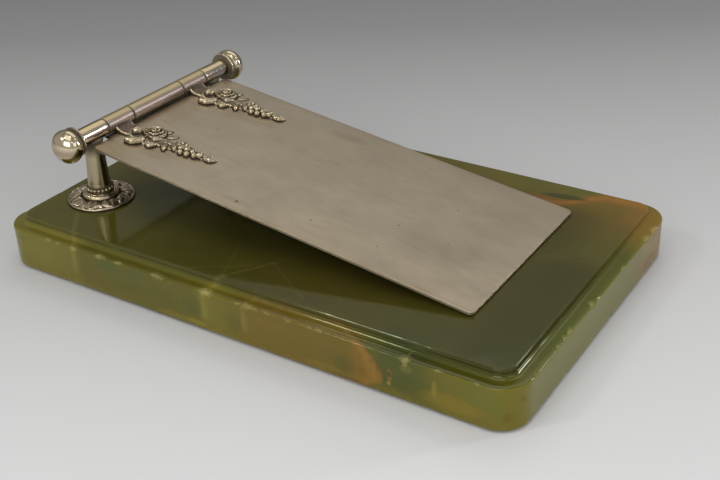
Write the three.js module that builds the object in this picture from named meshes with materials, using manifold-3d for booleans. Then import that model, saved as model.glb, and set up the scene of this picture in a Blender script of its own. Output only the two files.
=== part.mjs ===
// Ink blotter: an onyx desk slab that carries a hinged, silver plated press plate.
// Units are millimetres. +Z is up, +X runs from the hinge end to the free end of
// the plate, +Y runs across the slab. The origin is the centre of the underside.
import * as THREE from 'three';
import { mergeVertices } from 'three/addons/utils/BufferGeometryUtils.js';
import Module from 'manifold-3d';

// ---------------------------------------------------------------- dimensions
const BASE_LENGTH = 200;          // onyx slab along X
const BASE_WIDTH = 123;           // onyx slab along Y
const BASE_THICKNESS = 17.6;      // underside to the raised bed
const LEDGE_HEIGHT = 15;          // underside to the stepped rim
const LEDGE_INSET = 5.1;          // rim width all round
const BASE_CORNER_R = 10;         // outer vertical corners
const FELT_THICKNESS = 0.75;      // baize glued under the slab
const FELT_INSET = 2.5;

const HINGE_X = -78.8;            // hinge line, parallel to Y
const HINGE_Z = 43;               // above the onyx underside
const BARREL_R = 3.25;            // outside radius of all five barrels
const BARREL_BORE_R = 1.6;
const ROD_R = 1.5;                // hinge rod
const ROD_HALF = 45.9;
const FIXED_INNER = 27.0;         // |y| where the fixed knuckles begin
const FIXED_OUTER = 40.5;
const SLEEVE_HALF = 13.7;         // centre sleeve spans +-13.7
const GROOVE = 0.25;              // running gap between neighbouring barrels
const COLLAR_R = 5.4;
const COLLAR_THICKNESS = 1.0;
const FINIAL_R = 5.75;
const FINIAL_CENTRE = 3.1;        // widest point, from the collar
const FINIAL_HALF = 4.6;          // half length of the ball it is cut from

const POST_Y = 32.6;              // |y| of both posts
const FOOT_R = 12;                // rosette under each post
const ROSETTE_TOP = 3.6;
const SPIGOT_R = 3.0;
const COLUMN_BORE_R = 1.9;
const COLUMN_BORE_DEPTH = 9;
const SCREW_R = 1.6;
const SCREW_HEAD_R = 3.2;
const SCREW_HEAD_H = 2.4;
const SCREW_HOLE_R = 2.2;
const COUNTERBORE_R = 6.5;
const COUNTERBORE_DEPTH = 6;
const WASHER_R = 5.5;
const WASHER_THICKNESS = 1.2;

const PLATE_START_X = -73;        // hinge edge of the plate's top face
const PLATE_START_Z = 39.9;       // above the onyx underside
const PLATE_END_X = 73.5;         // free edge of the plate's top face
const PLATE_END_Z = 19.0;
const PLATE_TUCK = 1.9;           // how far the plate runs on under the barrels, past that edge point
const PLATE_TONGUE = 3.4;         // between the fixed knuckles it runs on this far instead
const TONGUE_HALF = 26.7;
const PLATE_WIDTH = 74;
const PLATE_THICKNESS = 1.1;
const PLATE_CORNER_R = 1.5;
const MOUNT_LIFT = 0.1;           // solder line under each casting
const SADDLE_GAP = 0.1;           // solder line round each barrel

const MOVING_Y = (SLEEVE_HALF + GROOVE + FIXED_INNER - GROOVE) / 2;
const Z0 = FELT_THICKNESS;
const BED_Z = Z0 + BASE_THICKNESS;

// ------------------------------------------------------------------ helpers
const wasm = await Module();
wasm.setup();

// turn an open or indexed surface into a closed solid
function solid(geometry) {
  const g = geometry.index ? geometry.toNonIndexed() : geometry.clone();
  for (const name of Object.keys(g.attributes)) if (name !== 'position') g.deleteAttribute(name);
  const m = mergeVertices(g, 1e-4);
  const p = m.attributes.position.array;
  const tri = [];
  for (let i = 0; i < m.index.count; i += 3) {
    const a = m.index.getX(i), b = m.index.getX(i + 1), c = m.index.getX(i + 2);
    if (a !== b && b !== c && c !== a) tri.push(a, b, c);
  }
  let volume = 0;
  const v = (i) => new THREE.Vector3(p[3 * i], p[3 * i + 1], p[3 * i + 2]);
  for (let i = 0; i < tri.length; i += 3) volume += v(tri[i]).dot(v(tri[i + 1]).cross(v(tri[i + 2])));
  if (volume < 0) for (let i = 0; i < tri.length; i += 3) [tri[i + 1], tri[i + 2]] = [tri[i + 2], tri[i + 1]];
  return new wasm.Manifold(new wasm.Mesh({
    numProp: 3, vertProperties: new Float32Array(p), triVerts: new Uint32Array(tri),
  }));
}

function geometryOf(manifold) {
  const mesh = manifold.getMesh();
  const g = new THREE.BufferGeometry();
  g.setAttribute('position', new THREE.BufferAttribute(new Float32Array(mesh.vertProperties), 3));
  g.setIndex(Array.from(mesh.triVerts));
  const flat = g.toNonIndexed();
  flat.computeVertexNormals();
  return flat;
}

const profile = (pairs) => pairs.map(([r, h]) => new THREE.Vector2(r, h));
const latheY = (pairs, segments) => new THREE.LatheGeometry(profile(pairs), segments);
const latheZ = (pairs, segments) => latheY(pairs, segments).rotateX(Math.PI / 2);
const pillarZ = (r, z0, z1, segments = 32) =>
  new THREE.CylinderGeometry(r, r, z1 - z0, segments).rotateX(Math.PI / 2).translate(0, 0, (z0 + z1) / 2);

function roundedRect(halfX, halfY, r) {
  const s = new THREE.Shape();
  s.moveTo(halfX, -halfY + r);
  s.lineTo(halfX, halfY - r);
  s.absarc(halfX - r, halfY - r, r, 0, Math.PI / 2, false);
  s.lineTo(-halfX + r, halfY);
  s.absarc(-halfX + r, halfY - r, r, Math.PI / 2, Math.PI, false);
  s.lineTo(-halfX, -halfY + r);
  s.absarc(-halfX + r, -halfY + r, r, Math.PI, 1.5 * Math.PI, false);
  s.lineTo(halfX - r, -halfY);
  s.absarc(halfX - r, -halfY + r, r, 1.5 * Math.PI, 2 * Math.PI, false);
  return s;
}

// a rounded slab from z0 to z1 whose edges carry a bevel inside the stated size
function slab(halfX, halfY, r, z0, z1, bevel, bevelSegments = 2) {
  return new THREE.ExtrudeGeometry(roundedRect(halfX, halfY, r), {
    depth: z1 - z0 - 2 * bevel, curveSegments: 5,
    bevelEnabled: bevel > 0, bevelThickness: bevel, bevelSize: bevel, bevelOffset: -bevel, bevelSegments,
  }).translate(0, 0, z0 + bevel);
}

const finish = (color, roughness, metalness) => new THREE.MeshStandardMaterial({ color, roughness, metalness });
const SILVER = 0x9c9184, SILVER_DARK = 0x7d7263, ONYX = 0x4b4d2b, STEEL = 0x8a8a8a, BAIZE = 0x2f4032;

const blotter = new THREE.Group();
function add(parent, name, geometry, material, place = [0, 0, 0]) {
  const mesh = new THREE.Mesh(geometry, material);
  mesh.name = name;
  mesh.position.set(...place);
  parent.add(mesh);
  return mesh;
}

// ---------------------------------------------------------------- onyx slab
// stepped block: outer slab, raised bed, and a small cove where they meet
{
  const hx = BASE_LENGTH / 2, hy = BASE_WIDTH / 2, m = LEDGE_INSET;
  let body = solid(slab(hx, hy, BASE_CORNER_R, 0, LEDGE_HEIGHT, 0.6))
    .add(solid(slab(hx - m, hy - m, BASE_CORNER_R - m, 5, BASE_THICKNESS, 0.45)));
  const cove = 1.1;
  body = body.add(solid(new THREE.ExtrudeGeometry(roundedRect(hx - m, hy - m, BASE_CORNER_R - m), {
    depth: 4, curveSegments: 5, bevelEnabled: true, bevelThickness: cove, bevelSize: cove, bevelSegments: 1,
  }).translate(0, 0, LEDGE_HEIGHT - 4)));
  for (const s of [-1, 1]) {
    const hole = solid(pillarZ(SCREW_HOLE_R, -1, BASE_THICKNESS + 1, 24))
      .add(solid(pillarZ(COUNTERBORE_R, -1, COUNTERBORE_DEPTH, 32)));
    body = body.subtract(hole.translate([HINGE_X, s * POST_Y, 0]));
  }
  add(blotter, 'onyx_base', geometryOf(body), finish(ONYX, 0.12, 0), [0, 0, Z0]);
}
add(blotter, 'felt_pad',
  geometryOf(solid(slab(BASE_LENGTH / 2 - FELT_INSET, BASE_WIDTH / 2 - FELT_INSET, BASE_CORNER_R - FELT_INSET, 0, FELT_THICKNESS, 0))),
  finish(BAIZE, 0.95, 0));

// -------------------------------------------------------------------- posts
const rosetteProfile = [
  [SPIGOT_R + 0.2, 0], [FOOT_R, 0], [FOOT_R, 0.45], [11.4, 0.95], [10.2, 1.35], [8.6, 1.55], [7.3, 1.45],
  [6.8, 1.6], [6.4, 2.6], [5.9, 3.0], [5.4, ROSETTE_TOP], [SPIGOT_R + 0.2, ROSETTE_TOP], [SPIGOT_R + 0.2, 0],
];
const columnProfile = [
  [0, COLUMN_BORE_DEPTH], [COLUMN_BORE_R, COLUMN_BORE_DEPTH - 0.8], [COLUMN_BORE_R, 0], [SPIGOT_R, 0],
  [SPIGOT_R, ROSETTE_TOP], [4.7, ROSETTE_TOP], [5.1, 4.1], [5.1, 4.7], [4.7, 5.2], [4.15, 5.35],
  [4.1, 6], [3.85, 9], [3.6, 14], [3.42, 19], [3.4, 24], [0, 24],
];
const screwProfile = [
  [0, 0], [SCREW_HEAD_R - 0.3, 0], [SCREW_HEAD_R, 0.3], [SCREW_HEAD_R, SCREW_HEAD_H],
  [SCREW_R, SCREW_HEAD_H], [SCREW_R, SCREW_HEAD_H + 20.0], [SCREW_R - 0.4, SCREW_HEAD_H + 20.4], [0, SCREW_HEAD_H + 20.4],
];
const washerProfile = [
  [SCREW_R + 0.2, 0], [WASHER_R, 0], [WASHER_R, WASHER_THICKNESS], [SCREW_R + 0.2, WASHER_THICKNESS], [SCREW_R + 0.2, 0],
];
const HEAD_Z = COUNTERBORE_DEPTH - WASHER_THICKNESS - SCREW_HEAD_H;   // above the onyx underside

for (const [side, s] of [['near', -1], ['far', 1]]) {
  add(blotter, `${side}_foot_rosette`, geometryOf(solid(latheZ(rosetteProfile, 32))),
    finish(SILVER_DARK, 0.4, 1), [HINGE_X, s * POST_Y, BED_Z]);

  // the column's top is cut to a saddle for the barrel it carries
  const saddle = solid(new THREE.CylinderGeometry(BARREL_R + SADDLE_GAP, BARREL_R + SADDLE_GAP, 14, 24))
    .translate([0, 0, HINGE_Z - BASE_THICKNESS]);
  add(blotter, `${side}_post_column`, geometryOf(solid(latheZ(columnProfile, 24)).subtract(saddle)),
    finish(SILVER, 0.3, 1), [HINGE_X, s * POST_Y, BED_Z]);

  // slotted screw that pulls the column down on the slab
  const slot = solid(new THREE.BoxGeometry(8, 0.8, 2)).translate([0, 0, 0]);
  add(blotter, `${side}_post_screw`, geometryOf(solid(latheZ(screwProfile, 24)).subtract(slot)),
    finish(STEEL, 0.4, 1), [HINGE_X, s * POST_Y, Z0 + HEAD_Z]);
  add(blotter, `${side}_washer`, geometryOf(solid(latheZ(washerProfile, 24))),
    finish(STEEL, 0.4, 1), [HINGE_X, s * POST_Y, Z0 + COUNTERBORE_DEPTH - WASHER_THICKNESS]);
}

// -------------------------------------------------------------------- hinge
const HINGE = [HINGE_X, 0, Z0 + HINGE_Z];
function barrel(length) {
  const h = length / 2, c = 0.45;
  return geometryOf(solid(latheY([
    [BARREL_BORE_R, -h], [BARREL_R - c, -h], [BARREL_R, -h + c], [BARREL_R, h - c], [BARREL_R - c, h],
    [BARREL_BORE_R, h], [BARREL_BORE_R, -h],
  ], 24)));
}
add(blotter, 'hinge_rod', geometryOf(solid(new THREE.CylinderGeometry(ROD_R, ROD_R, 2 * ROD_HALF, 24))),
  finish(STEEL, 0.35, 1), HINGE);
add(blotter, 'centre_sleeve', barrel(2 * SLEEVE_HALF), finish(SILVER, 0.3, 1), HINGE);

const collarProfile = [
  [BARREL_BORE_R, 0], [COLLAR_R - 0.3, 0], [COLLAR_R, 0.3], [COLLAR_R, COLLAR_THICKNESS - 0.3],
  [COLLAR_R - 0.3, COLLAR_THICKNESS], [BARREL_BORE_R, COLLAR_THICKNESS], [BARREL_BORE_R, 0],
];
const finialProfile = [[0, 4.9], [BARREL_BORE_R, 4.5], [BARREL_BORE_R, 0], [4.1, 0], [4.1, 0.3]];
// flattened ball, cut off where its neck meets the collar
const BALL_START = -Math.acos((FINIAL_CENTRE - 0.45) / FINIAL_HALF);
for (let i = 0; i <= 10; i++) {
  const a = Math.PI + (BALL_START + (Math.PI + BALL_START) * -i / 10) ;
  const r = FINIAL_R * Math.abs(Math.sin(a)), t = FINIAL_CENTRE + FINIAL_HALF * Math.cos(a);
  finialProfile.push([i === 10 ? 0 : r, t]);
}
for (const [side, s] of [['near', -1], ['far', 1]]) {
  const fixedLength = FIXED_OUTER - FIXED_INNER - GROOVE / 2;
  add(blotter, `${side}_fixed_knuckle`, barrel(fixedLength), finish(SILVER, 0.25, 1),
    [HINGE_X, s * (FIXED_OUTER - fixedLength / 2), Z0 + HINGE_Z]);
  const collar = geometryOf(solid(latheY(collarProfile, 28)));
  const finial = geometryOf(solid(latheY(finialProfile, 28)));
  const c = add(blotter, `${side}_collar`, collar, finish(SILVER, 0.25, 1),
    [HINGE_X, s * (FIXED_OUTER + 0.05), Z0 + HINGE_Z]);
  const f = add(blotter, `${side}_finial`, finial, finish(SILVER, 0.2, 1),
    [HINGE_X, s * (FIXED_OUTER + COLLAR_THICKNESS + 0.1), Z0 + HINGE_Z]);
  if (s < 0) { c.rotation.x = Math.PI; f.rotation.x = Math.PI; }
}

// -------------------------------------------------------------- press plate
const slope = Math.atan2(PLATE_START_Z - PLATE_END_Z, PLATE_END_X - PLATE_START_X);
const plateLength = Math.hypot(PLATE_START_Z - PLATE_END_Z, PLATE_END_X - PLATE_START_X);
const leaf = new THREE.Group();            // plate frame: u along the plate, z off its top face
leaf.position.set(PLATE_START_X, 0, Z0 + PLATE_START_Z);
leaf.rotation.y = slope;
blotter.add(leaf);
const tongue = solid(new THREE.BoxGeometry(8, 2 * TONGUE_HALF, PLATE_THICKNESS)
  .translate(4 - PLATE_TONGUE, 0, -PLATE_THICKNESS / 2));
add(leaf, 'press_plate',
  geometryOf(solid(slab((plateLength + PLATE_TUCK) / 2, PLATE_WIDTH / 2, PLATE_CORNER_R, -PLATE_THICKNESS, 0, 0.18, 1)
    .translate((plateLength - PLATE_TUCK) / 2, 0, 0)).add(tongue)),
  finish(SILVER, 0.35, 1));

// ------------------------------------------------- cast flower mounts
// one casting used twice: [u, w, h, radius u, radius w, radius h, turn]
const blooms = [
  [3.4, 0.6, 1.0, 2.9, 3.0, 1.8, 0],         // half open bud next to the strap
  [5.4, -4.6, 0.9, 2.9, 1.5, 1.4, 24],       // its turned-out petal
  [8.9, 4.0, 1.2, 4.3, 4.3, 2.4, 0],         // open rose
  [12.4, -2.4, 0.6, 1.7, 2.6, 1.3, 0],       // husks along the near side
  [16.6, -0.4, 0.6, 3.1, 1.5, 1.2, -54],
  [19.8, 1.3, 0.6, 2.2, 1.4, 1.0, -50],
  [20.9, 4.3, 0.6, 2.4, 2.2, 1.2, 0],        // small blossom
  [24.9, 1.7, 1.2, 1.2, 1.2, 1.2, 0],        // berries
  [23.8, -0.4, 0.75, 1.1, 1.1, 1.1, 0],
  [26.2, 0.1, 0.75, 1.15, 1.15, 1.15, 0],
  [27.0, 2.1, 0.9, 1.1, 1.1, 1.1, 0],
  [28.9, 0.9, 0.85, 1.1, 1.1, 1.1, 0],
  [30.4, 1.9, 0.85, 1.15, 1.15, 1.15, 0],
  [34.6, 2.4, 0.5, 2.2, 1.3, 1.1, 20],       // end bud
];
// hinge line seen in the plate frame
const dx = HINGE_X - PLATE_START_X, dz = HINGE_Z - PLATE_START_Z;
const hingeU = dx * Math.cos(slope) - dz * Math.sin(slope);
const hingeH = dx * Math.sin(slope) + dz * Math.cos(slope);

function flowerMount() {
  const base = new THREE.Shape();
  const edge = [[0.5, -3.4], [3.4, -5.2], [7.6, -4.6], [11.6, -4.6], [14.6, -3.0], [18.2, -2.8], [21, -0.6], [26, -0.8], [31, 0.6], [36.2, 1.9],
    [36.4, 3.2], [31, 3.4], [26, 4.2], [22, 6.2], [18, 6.4], [13, 7.4], [9, 8.2], [5, 6.6], [0.5, 4.2]];
  base.moveTo(...edge[0]);
  for (const e of edge.slice(1)) base.lineTo(...e);
  let body = solid(new THREE.ExtrudeGeometry(base, { depth: 0.9, bevelEnabled: false })
    .translate(0, 0, MOUNT_LIFT));
  for (const [u, w, h, ru, rw, rh, turn] of blooms) {
    const ball = new THREE.SphereGeometry(1, 10, 6).rotateX(Math.PI / 2).scale(ru, rw, rh)
      .rotateZ(turn * Math.PI / 180).translate(u, w, h);
    body = body.add(solid(ball));
  }
  // strap that climbs from the plate to the moving barrel
  const strap = new THREE.Shape();
  const side = [[3.2, MOUNT_LIFT], [3.2, 1.5], [0.5, 1.9], [-1.4, 2.6], [-2.8, 3.5], [-4.4, 3.5], [-4.6, -0.9], [-3.2, -0.9], [-0.8, MOUNT_LIFT]];
  strap.moveTo(...side[0]);
  for (const e of side.slice(1)) strap.lineTo(...e);
  body = body.add(solid(new THREE.ExtrudeGeometry(strap, { depth: 8.0, bevelEnabled: false })
    .rotateX(Math.PI / 2).translate(0, 4.4, 0)));
  // trim everything level with the solder line on the plate, and round the barrel
  const under = solid(new THREE.BoxGeometry(60, 40, 4)).translate([30 - PLATE_TONGUE - 0.35, 0, MOUNT_LIFT - 2]);
  const round = solid(new THREE.CylinderGeometry(BARREL_R + SADDLE_GAP, BARREL_R + SADDLE_GAP, 40, 36))
    .translate([hingeU, 0, hingeH]);
  // the casting is solid: only its outer skin is kept
  const pieces = body.subtract(under).subtract(round).decompose();
  pieces.sort((a, b) => b.volume() - a.volume());
  return geometryOf(pieces[0]);
}
const mountGeometry = flowerMount();
for (const [side, s] of [['near', -1], ['far', 1]]) {
  add(leaf, `${side}_flower_mount`, mountGeometry.clone(), finish(SILVER_DARK, 0.4, 1), [0, s * MOVING_Y, 0]);
  add(blotter, `${side}_moving_knuckle`, barrel(FIXED_INNER - SLEEVE_HALF - 1.5 * GROOVE), finish(SILVER, 0.3, 1),
    [HINGE_X, s * MOVING_Y, Z0 + HINGE_Z]);
}

export default blotter;
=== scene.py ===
import math
import bmesh
import bpy
import numpy as np
from mathutils import Matrix, Vector


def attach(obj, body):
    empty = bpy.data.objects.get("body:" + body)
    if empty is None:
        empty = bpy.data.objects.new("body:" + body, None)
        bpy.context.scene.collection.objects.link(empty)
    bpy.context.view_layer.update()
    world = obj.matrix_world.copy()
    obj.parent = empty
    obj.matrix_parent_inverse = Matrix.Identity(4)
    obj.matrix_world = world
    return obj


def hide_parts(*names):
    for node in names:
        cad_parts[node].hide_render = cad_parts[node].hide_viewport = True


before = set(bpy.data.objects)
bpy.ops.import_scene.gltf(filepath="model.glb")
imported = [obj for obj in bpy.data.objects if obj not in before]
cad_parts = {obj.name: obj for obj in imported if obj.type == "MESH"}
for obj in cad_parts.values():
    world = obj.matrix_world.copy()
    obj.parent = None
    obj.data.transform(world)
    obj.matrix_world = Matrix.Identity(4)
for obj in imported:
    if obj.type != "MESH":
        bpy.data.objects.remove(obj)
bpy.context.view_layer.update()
MM = 0.001

# ------------------------------------------------------------------ dimensions, mm
L, W, T, TL, INSET, RC = 200.0, 123.0, 17.6, 15.0, 5.1, 10.0
Z0 = 0.75                      # baize under the slab
HX, HZ = -78.8, 43.75          # hinge line
BR = 3.25                      # barrel radius
POST_Y = 32.6
BED = Z0 + T
MOVE_Y = 20.35
PX0, PZ0, PX1, PZ1 = -73.0, 40.65, 73.5, 19.75   # top face of the plate, hinge edge to free edge
SLOPE = math.atan2(PZ0 - PZ1, PX1 - PX0)
PLEN = math.hypot(PZ0 - PZ1, PX1 - PX0)
PT = 1.1
PW = 74.0
TUCK = 1.9                     # the plate runs on this far under the barrels,
TONGUE = 3.4                   # and this far between the fixed knuckles
TONGUE_HALF = 28.0


# ------------------------------------------------------------------ mesh helpers
def mesh_object(name, verts, faces, smooth=True, scale=MM):
    me = bpy.data.meshes.new(name)
    me.from_pydata([tuple(float(c) * scale for c in v) for v in verts], [], [tuple(map(int, f)) for f in faces])
    me.validate()
    ob = bpy.data.objects.new(name, me)
    bpy.context.scene.collection.objects.link(ob)
    bm = bmesh.new()
    bm.from_mesh(me)
    bmesh.ops.remove_doubles(bm, verts=bm.verts, dist=1e-7)
    bmesh.ops.recalc_face_normals(bm, faces=bm.faces)
    bm.to_mesh(me)
    bm.free()
    if smooth:
        me.polygons.foreach_set("use_smooth", [True] * len(me.polygons))
    return ob


def soft_normals(ob, degrees=35):
    """smooth shading that keeps edges sharper than the given angle"""
    me = ob.data
    bm = bmesh.new()
    bm.from_mesh(me)
    limit = math.radians(degrees)
    for e in bm.edges:
        if len(e.link_faces) == 2:
            e.smooth = e.calc_face_angle(0) < limit
    bm.to_mesh(me)
    bm.free()


def lathe(name, profile, place, axis="Z", segments=96, flip=False, wobble=None):
    """turns (radius, height) pairs about an axis; a profile that starts and ends off the axis closes on itself"""
    n = len(profile)
    closed = profile[0][0] > 1e-6 and profile[-1][0] > 1e-6
    verts, faces, rings = [], [], []
    for r, h in profile:
        if r < 1e-6:
            rings.append([len(verts)])
            verts.append((0, 0, h))
        else:
            ring = []
            for k in range(segments):
                a = 2 * math.pi * k / segments
                rr = r if wobble is None else r + wobble(a, h)
                ring.append(len(verts))
                verts.append((rr * math.cos(a), rr * math.sin(a), h))
            rings.append(ring)
    pairs = list(zip(rings, rings[1:])) + ([(rings[-1], rings[0])] if closed else [])
    for a, b in pairs:
        if len(a) == 1 and len(b) == 1:
            continue
        for k in range(segments):
            k2 = (k + 1) % segments
            if len(a) == 1:
                faces.append((a[0], b[k2], b[k]))
            elif len(b) == 1:
                faces.append((a[k], a[k2], b[0]))
            else:
                faces.append((a[k], a[k2], b[k2], b[k]))
    out = []
    for x, y, z in verts:
        if flip:
            y, z = -y, -z
        if axis == "Y":
            x, y, z = x, z, -y
        out.append((x + place[0], y + place[1], z + place[2]))
    return mesh_object(name, out, faces)


def round_profile(points, radii, steps=4):
    """rounds the corners of an open polyline of (r, h) pairs"""
    out = [points[0]]
    for i in range(1, len(points) - 1):
        p0, p1, p2 = (np.array(points[j], float) for j in (i - 1, i, i + 1))
        r = radii[i] if isinstance(radii, (list, tuple)) else radii
        a, b = p0 - p1, p2 - p1
        la, lb = np.linalg.norm(a), np.linalg.norm(b)
        d = min(r, la * 0.49, lb * 0.49)
        if d < 1e-4:
            out.append(tuple(p1))
            continue
        s, e = p1 + a / la * d, p1 + b / lb * d
        for k in range(steps + 1):
            t = k / steps
            out.append(tuple((1 - t) ** 2 * s + 2 * t * (1 - t) * p1 + t * t * e))
    out.append(points[-1])
    return [(float(max(0, a)), float(b)) for a, b in out]


def densify(points, step):
    out = [points[0]]
    for a, b in zip(points, points[1:]):
        n = max(1, int(math.ceil(math.hypot(b[0] - a[0], b[1] - a[1]) / step)))
        for k in range(1, n + 1):
            out.append((a[0] + (b[0] - a[0]) * k / n, a[1] + (b[1] - a[1]) * k / n))
    return out


# smooth value noise, seeded, for vertex work
class Noise:
    def __init__(self, seed):
        self.t = np.random.RandomState(seed).rand(4096)

    def lattice(self, i):
        h = (i[:, 0] * 73856093) ^ (i[:, 1] * 19349663) ^ (i[:, 2] * 83492791)
        return self.t[np.abs(h) % 4096]

    def __call__(self, p, scale=1.0):
        q = np.atleast_2d(np.asarray(p, float)) * scale
        i = np.floor(q).astype(np.int64)
        f = q - i
        f = f * f * (3 - 2 * f)
        s = 0
        for dx in (0, 1):
            for dy in (0, 1):
                for dz in (0, 1):
                    w = (f[:, 0] if dx else 1 - f[:, 0]) * (f[:, 1] if dy else 1 - f[:, 1]) * (f[:, 2] if dz else 1 - f[:, 2])
                    s = s + w * self.lattice(i + np.array([dx, dy, dz]))
        return s * 2 - 1


# ------------------------------------------------------------------ node language
class V:
    """a number or vector socket with arithmetic, so that materials read as formulas"""
    tree = None

    def __init__(self, s):
        self.s = s

    @staticmethod
    def math(op, *a, clamp=False):
        n = V.tree.nodes.new("ShaderNodeMath")
        n.operation = op
        n.use_clamp = clamp
        for i, x in enumerate(a):
            if isinstance(x, V):
                V.tree.links.new(x.s, n.inputs[i])
            else:
                n.inputs[i].default_value = float(x)
        return V(n.outputs[0])

    def __add__(self, o): return V.math("ADD", self, o)
    __radd__ = __add__
    def __sub__(self, o): return V.math("SUBTRACT", self, o)
    def __rsub__(self, o): return V.math("SUBTRACT", o, self)
    def __mul__(self, o): return V.math("MULTIPLY", self, o)
    __rmul__ = __mul__
    def __truediv__(self, o): return V.math("DIVIDE", self, o)
    def __rtruediv__(self, o): return V.math("DIVIDE", o, self)
    def __neg__(self): return V.math("MULTIPLY", self, -1)
    def __pow__(self, o): return V.math("POWER", self, o)
    def abs(self): return V.math("ABSOLUTE", self)
    def sqrt(self): return V.math("SQRT", self)
    def clamp(self): return V.math("ADD", self, 0, clamp=True)
    def sin(self): return V.math("SINE", self)
    def min(self, o): return V.math("MINIMUM", self, o)
    def max(self, o): return V.math("MAXIMUM", self, o)

    def step(self, a, b):
        """smooth 0 to 1 as this goes from a to b"""
        n = V.tree.nodes.new("ShaderNodeMapRange")
        n.interpolation_type = "SMOOTHSTEP"
        V.tree.links.new(self.s, n.inputs["Value"])
        lo, hi, f, t = (a, b, 0, 1) if a < b else (b, a, 1, 0)
        n.inputs["From Min"].default_value, n.inputs["From Max"].default_value = lo, hi
        n.inputs["To Min"].default_value, n.inputs["To Max"].default_value = f, t
        return V(n.outputs["Result"])

    def near(self, centre, width):
        """1 on centre, falling to 0 at width either side"""
        return (self - centre).abs().step(width, 0)


def new_material(name):
    m = bpy.data.materials.new(name)
    m.use_nodes = True
    V.tree = m.node_tree
    bsdf = next(n for n in m.node_tree.nodes if n.type == "BSDF_PRINCIPLED")
    return m, bsdf


def coords(scale=1000.0):
    """position on the object in millimetres: the vector socket and its three parts"""
    t = V.tree
    tc = t.nodes.new("ShaderNodeTexCoord")
    mp = t.nodes.new("ShaderNodeMapping")
    mp.inputs["Scale"].default_value = (scale, scale, scale)
    t.links.new(tc.outputs["Object"], mp.inputs["Vector"])
    sp = t.nodes.new("ShaderNodeSeparateXYZ")
    t.links.new(mp.outputs[0], sp.inputs[0])
    return mp.outputs[0], V(sp.outputs[0]), V(sp.outputs[1]), V(sp.outputs[2])


def vec(x, y, z):
    n = V.tree.nodes.new("ShaderNodeCombineXYZ")
    for i, a in enumerate((x, y, z)):
        if isinstance(a, V):
            V.tree.links.new(a.s, n.inputs[i])
        else:
            n.inputs[i].default_value = float(a)
    return n.outputs[0]


def noise(p, scale, detail=3, rough=0.55, distort=0.0, out="Fac", lac=2.0):
    n = V.tree.nodes.new("ShaderNodeTexNoise")
    V.tree.links.new(p, n.inputs["Vector"])
    n.inputs["Scale"].default_value = scale
    n.inputs["Detail"].default_value = detail
    n.inputs["Roughness"].default_value = rough
    n.inputs["Lacunarity"].default_value = lac
    n.inputs["Distortion"].default_value = distort
    return V(n.outputs[out]) if out == "Fac" else n.outputs["Color"]


def voronoi(p, scale, feature="F1", rand=1.0, out="Distance"):
    n = V.tree.nodes.new("ShaderNodeTexVoronoi")
    n.feature = feature
    V.tree.links.new(p, n.inputs["Vector"])
    n.inputs["Scale"].default_value = scale
    n.inputs["Randomness"].default_value = rand
    return V(n.outputs[out])


def mix(fac, a, b):
    """mix of two colours, each a socket or an (r, g, b)"""
    n = V.tree.nodes.new("ShaderNodeMix")
    n.data_type = "RGBA"
    n.clamp_factor = True
    if isinstance(fac, V):
        V.tree.links.new(fac.s, n.inputs[0])
    else:
        n.inputs[0].default_value = fac
    for i, c in ((6, a), (7, b)):
        if isinstance(c, (tuple, list)):
            n.inputs[i].default_value = (*c[:3], 1)
        else:
            V.tree.links.new(c, n.inputs[i])
    return n.outputs[2]


def tint(fac, a, b):
    """colour a multiplied by b, as far as fac says"""
    out = mix(fac, a, b)
    n = out.node
    n.blend_type = "MULTIPLY"
    return out


def ramp(fac, stops):
    n = V.tree.nodes.new("ShaderNodeValToRGB")
    V.tree.links.new(fac.s, n.inputs[0])
    e = n.color_ramp.elements
    while len(e) < len(stops):
        e.new(0.5)
    for el, (pos, col) in zip(e, stops):
        el.position = pos
        el.color = (*col, 1)
    return n.outputs[0]


def bump(height, strength, distance, normal=None):
    n = V.tree.nodes.new("ShaderNodeBump")
    n.inputs["Strength"].default_value = strength
    n.inputs["Distance"].default_value = distance
    V.tree.links.new(height.s, n.inputs["Height"])
    if normal is not None:
        V.tree.links.new(normal, n.inputs["Normal"])
    return n.outputs[0]


def attr(name):
    n = V.tree.nodes.new("ShaderNodeAttribute")
    n.attribute_name = name
    return V(n.outputs["Fac"])


def link(a, b):
    V.tree.links.new(a.s if isinstance(a, V) else a, b)


def srgb(r, g, b):
    f = lambda c: c / 12.92 if c <= 0.04045 else ((c + 0.055) / 1.055) ** 2.4
    return tuple(f(c / 255) for c in (r, g, b))


def dress(ob, *mats):
    ob.data.materials.clear()
    for m in mats:
        ob.data.materials.append(m)


# ================================================================== camera
R_ROWS = ((0.8467397400304303, 0.5312190579218581, -0.028950391254920802),
          (0.22616344876405417, -0.40868230772885117, -0.8842108717905303),
          (-0.4815411790245445, 0.7421489633827121, -0.466189885190163))
cam_data = bpy.data.cameras.new("camera")
cam = bpy.data.objects.new("camera", cam_data)
bpy.context.scene.collection.objects.link(cam)
right, down, ahead = (Vector(r) for r in R_ROWS)
m = Matrix((right, -down, -ahead)).transposed().to_4x4()
m.translation = Vector((201.26977, -288.95499, 203.23082 + Z0)) * MM
cam.matrix_world = m
cam_data.sensor_width = 36
cam_data.lens = 1140.527 / 720 * 36
cam_data.shift_x = (360 - 366.558) / 720
cam_data.shift_y = (208.139 - 240) / 720
cam_data.clip_start = 0.005
cam_data.clip_end = 50
bpy.context.scene.camera = cam


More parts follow.
